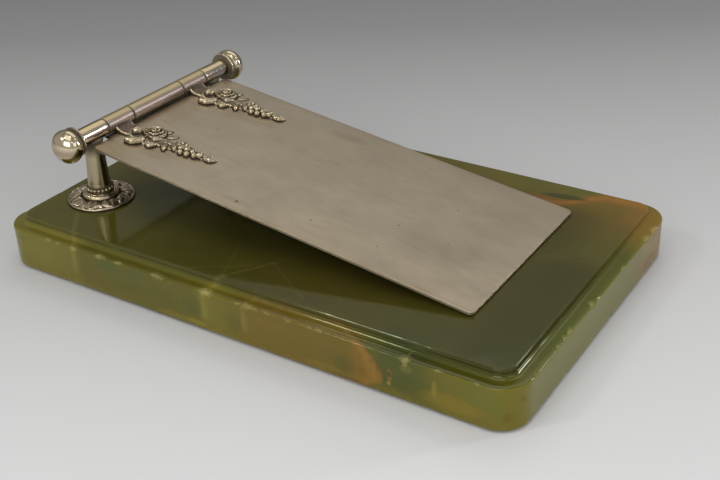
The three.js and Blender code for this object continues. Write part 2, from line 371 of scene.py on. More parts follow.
# ================================================================== materials
def mat_onyx():
    m, b = new_material("onyx")
    P, x, y, z = coords()
    wx = noise(P, 0.035, 3) - 0.5
    wy = noise(vec(x + 71, y - 33, z + 19), 0.05, 3) - 0.5
    fine = noise(P, 0.45, 4, 0.6)
    grit = noise(P, 1.6, 3, 0.6)
    cloud = noise(vec(x * 0.7, y * 1.2 + wx * 10, z * 1.6), 0.03, 4, 0.6)
    band = noise(vec(x * 0.25 + wy * 8, y + wx * 22, z * 3.0), 0.055, 3, 0.5)
    wisp = noise(vec(x * 0.5 + z * 0.9, y * 0.5, z * 2.2 - x * 0.12), 0.12, 4, 0.62)
    top = z.step(15.6, 17.4)                       # raised bed
    front = y.step(-50, -58)                       # near long side
    end = x.step(92, 98)                           # free short end
    bx = x + wx * 5 + (z - 9) * 0.10               # bands stand nearly upright in the stone

    # growth bands along the block: olive, darker green, brown, green
    col = ramp((bx + 100) / 200, [
        (0.00, srgb(112, 108, 44)), (0.10, srgb(116, 110, 46)), (0.170, srgb(112, 106, 44)), (0.195, srgb(94, 89, 36)),
        (0.30, srgb(92, 90, 38)), (0.44, srgb(98, 93, 36)), (0.460, srgb(116, 109, 40)), (0.52, srgb(108, 99, 38)),
        (0.56, srgb(112, 94, 38)), (0.72, srgb(108, 91, 37)), (0.765, srgb(84, 87, 36)), (0.85, srgb(88, 88, 35)), (0.90, srgb(104, 99, 38)), (1.0, srgb(110, 106, 46))])
    bed = ramp((x + wx * 18 + y * 0.22 + 100) / 200, [
        (0.0, srgb(112, 106, 44)), (0.2, srgb(98, 93, 37)), (0.42, srgb(88, 82, 32)), (0.6, srgb(88, 80, 33)), (0.82, srgb(94, 87, 34)), (1.0, srgb(104, 97, 38))])
    col = mix(top * 0.85, col, bed)
    col = mix(((cloud - 0.5) * 2.6).clamp() * 0.42, col, srgb(122, 108, 38))
    col = mix(((0.5 - cloud) * 2.6).clamp() * 0.42, col, srgb(70, 76, 33))
    col = mix(((band - 0.52) * 3.0).clamp() * 0.35, col, srgb(104, 82, 34))
    col = mix(((wisp - 0.5) * 2.4).clamp() * 0.30, col, srgb(122, 104, 46))
    col = mix(((0.48 - wisp) * 2.4).clamp() * 0.30, col, srgb(78, 76, 30))

    # foot of the sides: painted light, a yellow olive lightening that stands for light shining up through the stone
    # from the floor, grainy
    low = z.step(7.0, 1.2) * (1 - top)
    col = mix(low * (0.15 + 1.0 * (fine - 0.25)).clamp() * 0.75, col, srgb(126, 108, 34))
    col = mix(low * (grit - 0.56).max(0) * 3.0, col, srgb(152, 136, 66))
    col = mix(low * (0.42 - grit).max(0) * 3.5, col, srgb(58, 50, 20))

    def blob(cx, cz, rx, rz, col_, amount, where, soft=0.25, fuzz=0.9):
        nonlocal col
        q = (x - cx) * (x - cx) / rx ** 2 + (z - cz) * (z - cz) / rz ** 2 + (fine - 0.5) * fuzz
        col = mix(q.step(1.15, soft) * where * amount, col, col_)

    # near side, west to east
    for cx, cz, rx, rz, c, a in ((-83, 9, 9, 6, (124, 116, 54), 0.35), (-50, 13.2, 6, 2.4, (76, 88, 46), 0.55), (-38, 12.6, 5, 2.6, (80, 90, 48), 0.5),
                                 (-56, 7.5, 7, 3.0, (100, 86, 38), 0.45), (-33, 5.5, 9, 2.6, (104, 92, 38), 0.4), (-14, 9, 4.5, 4.5, (78, 84, 42), 0.45),
                                 (-22, 2.6, 8, 1.3, (130, 118, 40), 0.45), (-12.5, 2.9, 4.5, 1.1, (142, 130, 46), 0.6),
                                 (2.5, 8, 4, 5, (88, 84, 36), 0.35), (7.4, 9.2, 1.5, 4.2, (132, 112, 64), 0.5), (17, 11, 8, 2.8, (120, 98, 38), 0.45),
                                 (30, 9, 10, 2.6, (112, 92, 36), 0.35), (44, 6.2, 4.5, 3.4, (84, 82, 36), 0.6), (36, 3.4, 9, 1.1, (132, 112, 48), 0.4),
                                 (80, 5.6, 12, 3.2, (132, 114, 44), 0.65), (74.2, 8.6, 1.0, 3.4, (146, 128, 60), 0.55), (90, 11.0, 8, 4.5, (104, 106, 46), 0.5)):
        blob(cx, cz, rx, rz, srgb(*c), a, front * (1 - top))

    # a rounded lobe of honey-brown stone, closed off by a healed crack
    jz = z + (fine - 0.5) * 0.8
    edge = 57.3 - (y + 61.2).max(0) * 1.5 - (jz - 5.6) * (jz - 5.6) * jz.step(5.4, 5.8) * 0.064 - (5.6 - jz) * (5.6 - jz) * jz.step(5.8, 5.4) * 0.36
    crack = x - edge + (noise(P, 0.9, 3) - 0.5) * 0.9
    inside = crack.step(0.22, -0.22) * front * y.step(-54, -57.5)
    honey = (x + wx * 5).step(43.5, 51.0) * inside
    streak = noise(vec(x * 0.9, y, z * 0.45), 0.55, 4, 0.65)
    col = mix(honey * (0.55 + 0.7 * (streak - 0.3)).clamp(), col, srgb(142, 102, 44))
    col = mix(honey * (0.50 - streak).max(0) * 2.2, col, srgb(104, 68, 30))
    col = mix(inside * crack.near(-3.0, 2.6) * (fine * 1.3 - 0.25).clamp() * 0.7, col, srgb(160, 122, 70))
    col = mix(inside * z.step(15.2, 17.2) * (x.step(34, 47)) * 0.65, col, srgb(128, 86, 36))
    rim = crack.near(-0.25, 0.9) * front * z.step(1.0, 3.2) * y.step(-53, -57)
    col = mix(rim * z.step(5.0, 11.5) * 0.5, col, srgb(92, 54, 26))
    col = mix(rim * z.step(9.5, 5.0) * 0.25, col, srgb(92, 70, 32))
    brownline = ((x - 45.0) * (x - 45.0) / 60 + (z - 1.9) * (z - 1.9) / 0.5 + (fine - 0.5)).step(1.1, 0.2)
    col = mix(brownline * front * 0.5, col, srgb(92, 62, 26))
    # dark green next to the crack, and the little flame in it
    col = mix(x.step(53.5, 58) * x.step(76, 64) * (1 - inside) * front * z.step(2.2, 6) * 0.7 * (1 - crack.step(0.4, -0.2)), col, srgb(70, 77, 38))
    fl = (x - 59.55) * (x - 59.55) / 0.75 + (z - 7.6) * (z - 7.6) / 11.5 + (fine - 0.5) * 1.0
    col = mix(fl.step(1.1, 0.1) * front * 0.6, col, srgb(140, 110, 62))
    fl2 = (x - 59.45) * (x - 59.45) / 0.36 + (z - 8.3) * (z - 8.3) / 1.9 + (fine - 0.5)
    col = mix(fl2.step(0.9, 0.15) * front * 0.75, col, srgb(70, 34, 18))
    fl3 = (x - 59.3) * (x - 59.3) / 0.8 + (z - 5.3) * (z - 5.3) / 1.0 + (fine - 0.5) * 0.8
    col = mix(fl3.step(0.9, 0.2) * front * 0.6, col, srgb(160, 138, 74))
    blob(96.2, 5.6, 1.2, 2.2, srgb(98, 58, 26), 0.6, front * (1 - end.step(0.9, 1.0) * 0), 0.1)
    blob(39.8, 15.5, 0.7, 0.6, srgb(104, 62, 30), 0.5, front * y.step(-60.4, -61.0), 0.1)
    spot = ((x - 99.2) * (x - 99.2) + (y + 55.5) * (y + 55.5) + (z - 10.8) * (z - 10.8)).step(1.6, 0.3)
    col = mix(spot * 0.75, col, srgb(96, 52, 28))

    # tan swirl over the far free corner of the bed
    wig = (fine - 0.5) * 1.6 + wx * 5
    curve = y - 42.9 - (x - 57) * 0.11 - x.step(64, 80) * 9.0 + wig
    region = x.step(44, 62) * curve.step(3.0, 0.0) * (y + wx * 10).step(16, 42)
    col = mix(region * (0.50 + 0.4 * (fine - 0.4)), col, srgb(116, 84, 30))
    lip = curve.near(-1.6, 5.0) * x.step(50, 62) * y.step(36, 42)
    col = mix(lip * (0.72 + 0.8 * (fine - 0.5)).clamp(), col, srgb(156, 104, 42))
    col = mix(curve.near(0.3, 1.1) * x.step(50, 58) * x.step(80, 70) * 0.5, col, srgb(112, 60, 28))
    lens = (x - 66) * (x - 66) / 80 + (y - 47.6 - (x - 66) * 0.16) * (y - 47.6 - (x - 66) * 0.16) / 4.6
    col = mix(lens.step(1.25, 0.25) * 0.8, col, srgb(54, 60, 26))
    col = mix(x.step(84, 99) * y.step(30, 50) * (0.45 + 0.5 * (fine - 0.3)), col, srgb(142, 102, 44))
    back_green = y.step(49, 56) * x.step(30, 46) * x.step(84, 66)
    col = mix(back_green * 0.35 * cloud, col, srgb(96, 104, 44))

    # free end: paler and greyer towards the middle, rusty at the far corner
    col = mix(end * (1 - top) * y.step(-56, -30) * 0.55, col, srgb(112, 112, 56))
    col = mix(end * (1 - top) * y.step(-44, -60) * 0.6, col, srgb(118, 106, 34))
    col = mix(end * (1 - top) * y.step(22, 44) * (0.45 + 0.6 * (fine - 0.3)).clamp(), col, srgb(138, 104, 52))
    col = mix(end * (1 - top) * ((y - 42) * (y - 42) / 60 + (z - 5) * (z - 5) / 9 + (fine - 0.5)).step(1.2, 0.2) * 0.45, col, srgb(110, 62, 36))
    # the same stone at the sides that face away: other clouds of brown and green
    back = y.step(54, 60)
    blotch = noise(vec(x + 40, y, z * 1.5 + 7), 0.045, 4, 0.6)
    col = mix(back * blotch.step(0.50, 0.64) * (1 - top) * 0.7, col, srgb(122, 84, 36))
    col = mix(back * (0.47 - blotch).max(0) * 4.0 * (1 - top) * 0.7, col, srgb(74, 82, 40))
    hinge_end = x.step(-92, -98)
    col = mix(hinge_end * blotch.step(0.55, 0.7) * (1 - top) * 0.5, col, srgb(118, 92, 38))

    # crystalline sheets standing in the stone: soft pale edges on the sides and the bed
    jig = (noise(P, 0.32, 4, 0.65) - 0.5) * 2.0
    jig2 = (noise(vec(x - 9, y + 5, z), 0.9, 3, 0.6) - 0.5) * 0.8
    patchy = noise(P, 0.22, 4, 0.7)

    def sheet_line(a, c, width, zlo=-5.0, zhi=30.0):
        ax, ay = a
        cx, cy = c
        l2 = (cx - ax) ** 2 + (cy - ay) ** 2
        t = (((x - ax) * (cx - ax) + (y - ay) * (cy - ay)) / l2).clamp()
        qx, qy = (x + jig * 0.7) - ax - t * (cx - ax), (y + jig2) - ay - t * (cy - ay)
        d = (qx * qx + qy * qy).sqrt()
        return d.step(width, 0.0) * z.step(zlo, zlo + 4)

    pale = srgb(150, 140, 84)
    col = mix((sheet_line((-64.8, -62), (-79, -44), 1.5, 4) * (0.10 + 0.45 * patchy)).clamp(), col, pale)
    col = mix((sheet_line((-9.2, -62), (-6.0, -54.5), 2.2, 3) * (0.08 + 0.50 * patchy)).clamp(), col, pale)
    col = mix((sheet_line((6.6, -62), (8.6, -57), 1.3, 4) * (0.02 + 0.3 * patchy)).clamp(), col, pale)
    faint = sheet_line((-6.0, -54.5), (3.5, -40), 0.9) * 0.30 + sheet_line((-14.5, -33), (-6.5, -54), 0.8) * 0.16 \
        + sheet_line((3.5, -40), (24, -53), 0.9) * 0.16 + sheet_line((-19, -56), (-2, -45), 0.8) * 0.2 \
        + sheet_line((3.5, -40), (12, -24), 1.4) * 0.10 + sheet_line((76.5, 6.8), (94, 9.8), 0.5) * 0.30 \
        + sheet_line((-40, 48), (10, 53), 0.7) * 0.25 + sheet_line((-92, 20), (-60, 42), 0.7) * 0.28 + sheet_line((-60, 42), (-52, 56), 0.6) * 0.2
    col = mix((faint * (0.4 + 1.1 * patchy)).clamp(), col, srgb(140, 132, 84))
    # wisps and cloudy patches under the arris
    w1 = ((x + 24.5) - (z - 12.7) * 1.05).abs() + (fine - 0.5) * 0.9
    col = mix(w1.step(0.95, 0.1) * z.step(10.2, 11.4) * z.step(15.2, 14.0) * front * 0.08, col, srgb(150, 146, 96))
    for cx, cz, rx, rz, a in ((-8.2, 14.8, 1.5, 0.45, 0.5), (-21.8, 14.7, 1.6, 0.4, 0.12), (64.7, 14.3, 1.0, 1.4, 0.4), (65.0, 12.3, 2.4, 1.6, 0.15), (-64.9, 14.7, 1.1, 0.6, 0.3), (7.2, 14.2, 1.4, 0.4, 0.15)):
        blob(cx, cz, rx, rz, srgb(168, 160, 106), a, front * (1 - top), 0.35, 1.3)

    # the bed is darker than the sides: partly darker stone, partly painted shade where the plate shades it, and a
    # painted shadow under the plate; the sides lean to yellow
    # painted shade: most of the bed darkened, all but its back strip and back corner, as darker stone and as the
    # plate's shade
    col = tint(top * y.step(50, 34) * x.step(92, 72).max(y.step(20, 0)) * 0.55, col, (0.17, 0.21, 0.13))
    # painted shadow: the bed darkened under the plate
    col = tint(top * x.step(70, 46) * x.step(-70, -52) * y.abs().step(44, 32) * 0.38, col, (0.3, 0.3, 0.3))
    col = tint((1 - top) * 0.9, col, (0.97, 0.93, 0.56))

    col = tint(end * (1 - top) * 0.6, col, (0.98, 1.0, 0.55))
    # painted shade: the bed darkened beyond the plate's free end
    col = tint(top * x.step(62, 86) * y.step(52, 18) * 0.8, col, (0.55, 0.55, 0.5))
    rimtop = z.step(15.2, 15.45) * z.step(16.9, 15.9) * y.step(-57.5, -59.0)
    col = tint(rimtop * 0.5, col, (0.72, 0.66, 0.5))
    # painted shade: the cove and the bed's wall darkened along the near half of the free end
    col = tint(z.step(15.2, 15.45) * z.step(17.2, 16.4) * x.step(40, 74) * y.step(40, 20) * 0.9, col, (0.50, 0.58, 0.50))

    # pale bruises where the rim is chipped
    chip = attr("chip")
    col = mix((chip * (0.1 + 0.9 * fine)).clamp() * 0.62, col, srgb(164, 154, 102))
    link(col, b.inputs["Base Color"])
    b.inputs["Subsurface Weight"].default_value = 0.10
    b.inputs["Subsurface Radius"].default_value = (1.0, 0.95, 0.4)
    b.inputs["Subsurface Scale"].default_value = 0.0035
    b.inputs["IOR"].default_value = 1.5
    b.inputs["Specular Tint"].default_value = (0.90, 1.0, 0.64, 1.0)
    rough = 0.06 + 0.06 * noise(P, 0.12, 3) + chip * 0.35 + z.step(15.9, 14.9) * z.step(0.8, 1.4) * 0.10 + low * (grit - 0.5).abs() * 0.5
    link(rough.clamp(), b.inputs["Roughness"])
    h = noise(P, 0.07, 2) * 0.5 + noise(P, 0.9, 3) * 0.02 + chip * voronoi(P, 2.2) * 0.6 + low * grit * 0.12
    link(bump(h, 0.35, 0.0004), b.inputs["Normal"])
    return m


def mat_silver(name, tone=(186, 174, 154), rough=0.16, axis=None, tarnish=0.5, warm=(170, 150, 104), cool=(138, 126, 128), shade=None, film=0.12):
    """polished plate with a film of tarnish and fine turning marks; shade adds colour that follows the piece: painted
    reflections on the tubes and balls, a tan tint low on the posts
    """
    m, b = new_material(name)
    P, x, y, z = coords()
    n1 = noise(P, 0.11, 3, 0.55)
    n2 = noise(P, 0.5, 4, 0.6)
    n3 = noise(P, 2.4, 3, 0.6)
    col = mix((n1 * 1.8 - 0.4).clamp() * tarnish, srgb(*tone), srgb(*warm))
    col = mix((1.25 - n1 * 2.2).clamp() * tarnish * 0.8, col, srgb(*cool))
    grime_and_shade = attr("cavity_and_shade").clamp()
    if shade:
        col = shade(col, x, y, z, n2)
        if shade is tube_reflection_paint:
            # painted shade: the tube's underside darkened towards black
            under = ((z - HZ) / BR + (n2 - 0.5) * 0.15).step(-0.45, -0.72)
            grime_and_shade = grime_and_shade.max(under * 0.95)
    col = mix(n3.step(0.6, 0.78) * 0.3 * tarnish, col, srgb(96, 82, 58))
    cav = grime_and_shade
    col = mix(cav * 0.9, col, srgb(42, 33, 24))
    link(col, b.inputs["Base Color"])
    link(1 - cav * 0.7, b.inputs["Metallic"])
    link((rough + film * (n2 - 0.45) + cav * 0.45).clamp(), b.inputs["Roughness"])
    if axis == "Y":
        s = noise(vec(x * 0.4, y * 9, z * 0.4), 1.0, 3, 0.7)
    elif axis == "Z":
        s = noise(vec(x * 0.4, y * 0.4, z * 9), 1.0, 3, 0.7)
    else:
        s = n3
    link(bump(s * 0.25 + n2 * 4 * film, 0.22, 0.00012), b.inputs["Normal"])
    return m


def tube_reflection_paint(col, x, y, z, n):
    """painted reflections laid on as a tarnish film: yellow along the top, violet at the front, dark brown underneath
    """
    up = (z - HZ) / BR + (n - 0.5) * 0.10
    col = mix(up.step(0.55, 0.95) * 0.7, col, srgb(196, 176, 126))
    col = mix(up.near(0.12, 0.5) * 0.7, col, srgb(150, 134, 136))
    return mix(up.step(-0.15, -0.6) * 0.9, col, srgb(62, 52, 42))


def ball_reflection_paint(col, x, y, z, n):
    """painted reflections: a brown band round the middle, yellow below, blotchy dark at the foot"""
    up = (z - HZ) / 6.0 + (n - 0.5) * 0.16
    col = mix(up.near(-0.22, 0.34) * 0.42, col, srgb(148, 122, 106))
    col = mix(up.step(0.35, 0.8) * 0.35, col, srgb(184, 166, 122))
    col = mix(up.step(-0.45, -0.65) * up.step(-0.95, -0.8) * 0.4, col, srgb(206, 184, 136))
    return mix(up.step(-0.80, -0.98) * (n * 2 - 0.5).clamp() * 0.9, col, srgb(66, 52, 32))


def post_shade(col, x, y, z, n):
    return mix((z - BED).step(9, 5) * (n * 1.6 - 0.3).clamp() * 0.5, col, srgb(120, 102, 66))


def mat_plate():
    m, b = new_material("plate_silver")
    P, x, y, z = coords()
    u = (x + 73) * math.cos(SLOPE) - (z - PZ0) * math.sin(SLOPE)
    v = y
    n1 = noise(vec(u * 0.7, v * 1.4, 0), 0.05, 4, 0.6)
    n2 = noise(vec(u * 0.35, v * 2.2, 0), 0.3, 5, 0.65)
    grain = noise(vec(u * 0.12, v * 6.0, 3.0), 1.0, 4, 0.7)
    speck = noise(vec(u, v, 9.0), 2.2, 4, 0.7)
    col = mix((n1 * 2.2 - 0.6).clamp(), srgb(170, 157, 136), srgb(184, 171, 149))
    col = mix((n2 - 0.5).max(0) * 1.1, col, srgb(150, 136, 112))
    col = mix((0.47 - grain).max(0) * 1.0, col, srgb(120, 106, 84))
    # yellow tarnish by the hinge, round the castings and along the edges
    halo = 0
    for cu, cv, ru, rv in ((9, -24, 16, 8), (9, 15, 14, 8), (3, 0, 7, 16), (24, -20, 14, 5), (26, 17, 13, 5), (2, -34, 14, 6)):
        halo = halo + ((u - cu) * (u - cu) / ru ** 2 + (v - cv) * (v - cv) / rv ** 2).step(1.3, 0.0)
    col = mix((halo * (n2 * 1.5 - 0.3)).clamp() * 0.5, col, srgb(150, 124, 76))
    rim = v.abs().step(34.5, 36.9) + u.step(1.5, -1.6)
    col = mix(rim.clamp() * (n2 * 1.2 - 0.15) * 0.45, col, srgb(150, 132, 90))
    # pits: a few where they show, and a thin scatter of small ones
    pits = voronoi(vec(u + jitter(u, v), v, 0.0), 0.16, rand=1.0).step(0.055, 0.02) * speck.step(0.5, 0.62) * 0.5
    for cu, cv, r in PLATE_PITS:
        pits = pits + ((u - cu) * (u - cu) + (v - cv) * (v - cv) + (speck - 0.5) * r * r).step(r * r, r * r * 0.3)
    pits = pits.clamp()
    col = mix(pits * 0.7, col, srgb(84, 70, 52))
    # a long smudge in the middle, a brown bloom by the near side, a bright scratch
    smudge = ((u - 62.7) * (u - 62.7) / 90 + (v - 29.0) * (v - 29.0) / 10 + (n2 - 0.5)).step(1.1, 0.0)
    smudge = smudge + ((u - 57.7) * (u - 57.7) / 60 + (v + 32.5) * (v + 32.5) / 3.0 + (n2 - 0.5)).step(1.1, 0.0) * 0.8
    patch = (u + (n1 - 0.5) * 24).step(106, 116) * (u + (n1 - 0.5) * 24).step(140, 130) * (v + (n2 - 0.5) * 12).near(-15, 14)
    col = mix(smudge * 0.22, col, srgb(116, 100, 78))
    col = mix(patch * 0.35, col, srgb(150, 138, 118))
    mark = ((u - 45.4) - (v + 11.5) * 0.6).abs().step(0.22, 0.05) * (v + 11.5).abs().step(2.4, 1.6)
    col = mix(mark * 0.4, col, srgb(214, 204, 186))
    # cavity darkens the seam line and, as painted shade, the tongue under the barrels
    cav = attr("cavity_and_shade")
    col = mix(cav.clamp() * 0.85, col, srgb(34, 28, 20))
    link(col, b.inputs["Base Color"])
    b.inputs["Metallic"].default_value = 1.0
    link((0.36 + 0.12 * (n2 - 0.5) + 0.12 * (grain - 0.5) + pits * 0.2).clamp(), b.inputs["Roughness"])
    scratch = noise(vec(u * 0.05, v * 3.2, 1.0), 2.0, 4, 0.75)
    # long thin scratches in three directions
    lines = 0
    for ang, f in ((0.05, 1.0), (0.5, 0.7), (-0.35, 0.8)):
        c, s_ = math.cos(ang), math.sin(ang)
        q = noise(vec((u * c + v * s_) * 0.03, (v * c - u * s_) * 2.6 * f, 5.0 * f), 1.6, 2, 0.5)
        lines = lines + q.near(0.5, 0.012) * noise(vec(u * 0.05, v * 0.05, 4 * f), 1.0, 2).step(0.5, 0.6)
    h = scratch * 0.35 + speck * 0.2 - pits * 1.6 - lines * 0.5 + n1 * 0.8
    link(bump(h, 0.28, 0.00012), b.inputs["Normal"])
    return m


def jitter(u, v):
    return (noise(vec(u, v, 2.0), 0.3, 2) - 0.5) * 6


PLATE_PITS = [(57.7, -32.5, 0.75), (82.9, -26.2, 0.42), (106.6, -10.0, 0.45), (124.8, -9.3, 0.40), (107.5, -25.0, 0.35), (22.2, 2.0, 0.35),
              (117.4, 11.0, 0.35)]



def mat_cast():
    """cast ornament: bright where it is rubbed, black brown in its recesses, and darkened at its foot, partly as
    painted shade
    """
    m, b = new_material("cast_silver")
    P, x, y, z = coords()
    cav = attr("cavity_and_shade")
    n2 = noise(P, 0.8, 4, 0.6)
    n3 = noise(P, 3.0, 3, 0.6)
    n1 = noise(P, 0.16, 3)
    hi = mix((n1 * 2 - 0.5).clamp(), srgb(206, 193, 170), srgb(190, 171, 132))
    mid = srgb(128, 115, 99)
    col = mix(((cav + 0.02) * 2.6 + (n2 - 0.5) * 0.6).clamp(), hi, mid)
    col = mix(((cav - 0.17) * 2.4 + (n2 - 0.5) * 0.5).clamp() * 0.92, col, srgb(46, 38, 30))
    col = mix(n3.step(0.6, 0.72) * 0.3, col, srgb(96, 82, 58))
    link(col, b.inputs["Base Color"])
    b.inputs["Metallic"].default_value = 1.0
    link((0.25 + cav * 0.4 + (n2 - 0.5) * 0.15).clamp(), b.inputs["Roughness"])
    link(bump(n3 * 0.6 + n2 * 0.6, 0.4, 0.0002), b.inputs["Normal"])
    return m


def mat_steel():
    m, b = new_material("plain_steel")
    P, x, y, z = coords()
    n = noise(P, 0.9, 4)
    g = noise(vec(x * 0.5, y * 7, z * 7), 1.0, 3)
    col = mix(n, srgb(120, 118, 114), srgb(96, 88, 78))
    col = mix(noise(P, 0.4, 4).step(0.58, 0.75) * 0.5, col, srgb(96, 66, 40))
    link(col, b.inputs["Base Color"])
    b.inputs["Metallic"].default_value = 1.0
    link((0.32 + 0.2 * (n - 0.5)).clamp(), b.inputs["Roughness"])
    link(bump(g * 0.5 + n * 0.5, 0.3, 0.0001), b.inputs["Normal"])
    return m


def mat_baize():
    m, b = new_material("baize")
    P, x, y, z = coords()
    fibre = noise(vec(x, y, z), 2.6, 5, 0.75)
    clump = noise(P, 0.25, 4, 0.6)
    weave = ((x * 5.2).sin() * (y * 5.2).sin()) * 0.5 + 0.5
    col = mix((fibre * 1.6 - 0.3).clamp(), srgb(26, 50, 34), srgb(58, 88, 62))
    col = mix((clump - 0.5).max(0) * 1.2, col, srgb(74, 92, 66))
    col = mix(noise(P, 1.3, 3).step(0.66, 0.74) * 0.5, col, srgb(128, 130, 110))
    link(col, b.inputs["Base Color"])
    b.inputs["Roughness"].default_value = 0.95
    b.inputs["Sheen Weight"].default_value = 0.4
    b.inputs["Sheen Roughness"].default_value = 0.5
    link(bump(fibre + weave * 0.25, 0.9, 0.0005), b.inputs["Normal"])
    return m


# ================================================================== onyx slab
CHIPS = [(-76.8, 0.7), (-72.4, 0.6), (-64.5, 0.9), (-53.3, 1.2), (-51.6, 0.8), (-45.1, 1.0), (-27.8, 1.5), (-7.6, 1.6), (4.6, 0.8),
         (8.5, 1.3), (11.3, 0.9), (16.1, 0.8), (24.0, 0.8), (32.4, 0.7), (35.2, 0.7), (43.7, 0.6), (64.3, 1.3), (75.3, 0.7), (88.0, 0.6)]
CHIPS_END = [(-8.5, 1.2), (-25.6, 1.1), (-28.9, 0.9), (-34.2, 0.8), (38.0, 1.2), (44.5, 1.1), (16.0, 0.7)]


def ring(inset, z, nx=330, ny=200, nc=18):
    hx, hy, r = L / 2 - inset, W / 2 - inset, max(RC - inset, 0.8)
    pts = []
    for cx, cy, a0, n in ((hx - r, -hy + r, -90, ny), (hx - r, hy - r, 0, nx), (-hx + r, hy - r, 90, ny), (-hx + r, -hy + r, 180, nx)):
        for k in range(nc):
            a = math.radians(a0 + 90 * k / nc)
            pts.append((cx + r * math.cos(a), cy + r * math.sin(a), z))
        a = math.radians(a0 + 90)
        sx, sy = cx + r * math.cos(a), cy + r * math.sin(a)
        ex, ey = {-90: (hx, hy - r), 0: (-hx + r, hy), 90: (-hx, -hy + r), 180: (hx - r, -hy)}[a0]
        for k in range(n):
            pts.append((sx + (ex - sx) * k / n, sy + (ey - sy) * k / n, z))
    return pts


def onyx():
    # (inset, z) from under the slab, up the side, over the rim and the cove to the bed
    prof = [(8.0, 0), (1.6, 0), (1.05, 0)]
    for k in range(1, 5):
        a = math.pi / 2 * k / 4
        prof.append((1.0 - 0.9 * math.sin(a) + 0.0, 0.9 - 0.9 * math.cos(a)))
    prof += [(0.08, 1.3)] + [(0.0, 1.3 + 12.3 * k / 10) for k in range(1, 11)]
    prof += [(0.0, 14.0)]
    for k in range(1, 7):                                     # rounded arris
        a = math.pi / 2 * k / 6
        prof.append((0.75 - 0.75 * math.cos(a), 14.0 + 0.75 * math.sin(a)))
    prof += [(1.1, 14.76), (1.6, 14.75), (2.4, 14.71), (3.1, 14.67)]
    for k in range(0, 9):                                     # cove
        a = math.pi / 2 * k / 8
        prof.append((3.45 + 1.45 * math.sin(a), 14.66 + 1.8 * (1 - math.cos(a))))
    prof += [(4.94, 16.8), (5.0, 17.1)]
    for k in range(1, 7):
        a = math.pi / 2 * k / 6
        prof.append((5.0 + 0.5 * (1 - math.cos(a)), 17.1 + 0.5 * math.sin(a)))
    prof += [(5.56, T), (6.4, T), (9.0, T)]
    rings = [np.array(ring(i, z)) for i, z in prof]
    n = len(rings[0])
    V0 = np.concatenate(rings)
    nz = Noise(3)
    # hand worked stone: edges wander a little
    w = nz(V0, 0.035)[:, None] * 0.22 + nz(V0, 0.16)[:, None] * 0.06
    out = np.stack([np.sign(V0[:, 0]) * (np.abs(V0[:, 0]) > 60), np.sign(V0[:, 1]) * (np.abs(V0[:, 1]) > 45), np.zeros(len(V0))], 1)
    side = ((V0[:, 2] > 0.5) & (V0[:, 2] < T - 0.02))[:, None]
    V1 = V0 - np.abs(w) * out * side * 0.8
    # chips along the arris
    rng = np.random.RandomState(11)
    spots = [(x, -W / 2, TL - 0.35, r, 1.0) for x, r in CHIPS] + [(L / 2, y, TL - 0.35, r, 0.8) for y, r in CHIPS_END]
    for x, r in CHIPS:                                        # each sits in a small run of nicks
        for _ in range(2):
            spots.append((x + rng.uniform(-3.5, 3.5), -W / 2, TL - 0.3, rng.uniform(0.25, 0.5), 0.8))
    for _ in range(36):
        s = rng.randint(4)
        p = rng.uniform(-0.9, 0.9)
        r = rng.uniform(0.25, 0.8)
        x, y = ((p * L / 2, -W / 2), (L / 2, p * W / 2), (p * L / 2, W / 2), (-L / 2, p * W / 2))[s]
        if s == 0 and rng.rand() < 0.6:
            continue
        spots.append((x, y, TL - 0.3, r, rng.uniform(0.3, 0.9)))
    for _ in range(22):                                       # a few along the foot
        p = rng.uniform(-0.9, 0.9)
        s = rng.randint(4)
        x, y = ((p * L / 2, -W / 2), (L / 2, p * W / 2), (p * L / 2, W / 2), (-L / 2, p * W / 2))[s]
        spots.append((x, y, 0.3, rng.uniform(0.3, 0.9), rng.uniform(0.2, 0.6)))
    chip = np.zeros(len(V1))
    for x, y, z, r, s in spots:
        inward = np.array([-np.sign(x) * (abs(x) > L / 2 - 1), -np.sign(y) * (abs(y) > W / 2 - 1), -0.9 if z > 5 else 0.9], float)
        inward /= np.linalg.norm(inward)
        d = V1 - np.array([x, y, z])
        if abs(y) > W / 2 - 1:
            d[:, 0] *= 0.6
        else:
            d[:, 1] *= 0.6
        d[:, 2] *= 1.5
        q = np.sqrt((d ** 2).sum(1)) / (r * 1.15) + nz(V1 + x, 1.6) * 0.45
        k = np.clip(1 - q, 0, 1)
        k = np.minimum(1, k * 1.8)
        V1 = V1 + inward * (k * r * 0.42)[:, None]
        chip = np.maximum(chip, k * s)
    faces = []
    for j in range(len(rings) - 1):
        a, b = j * n, (j + 1) * n
        for k in range(n):
            k2 = (k + 1) % n
            faces.append((a + k, a + k2, b + k2, b + k))
    faces.append(tuple(range(n))[::-1])
    faces.append(tuple((len(rings) - 1) * n + k for k in range(n)))
    V1[:, 2] += Z0
    me = bpy.data.meshes.new("onyx_slab")
    me.from_pydata((V1 * MM).tolist(), [], faces)
    me.attributes.new("chip", "FLOAT", "POINT").data.foreach_set("value", chip.astype(np.float32))
    ob = bpy.data.objects.new("onyx_slab", me)
    bpy.context.scene.collection.objects.link(ob)
    # the two screw holes with their counterbores
    cutters = []
    for s in (-1, 1):
        c = lathe("cut", [(0, -2.0), (6.5, -2.0), (6.5, 6.0), (2.2, 6.0), (2.2, 21.0), (0, 21.0)], (HX, s * POST_Y, Z0), segments=48)
        md = ob.modifiers.new("hole", "BOOLEAN")
        md.operation, md.object, md.solver = "DIFFERENCE", c, "EXACT"
        cutters.append(c)
    apply_modifiers(ob)
    for c in cutters:
        bpy.data.objects.remove(c)
    ob.data.polygons.foreach_set("use_smooth", [True] * len(ob.data.polygons))
    soft_normals(ob, 40)
    return ob


def apply_modifiers(ob):
    dg = bpy.context.evaluated_depsgraph_get()
    me = bpy.data.meshes.new_from_object(ob.evaluated_get(dg))
    old = ob.data
    ob.modifiers.clear()
    ob.data = me
    bpy.data.meshes.remove(old)


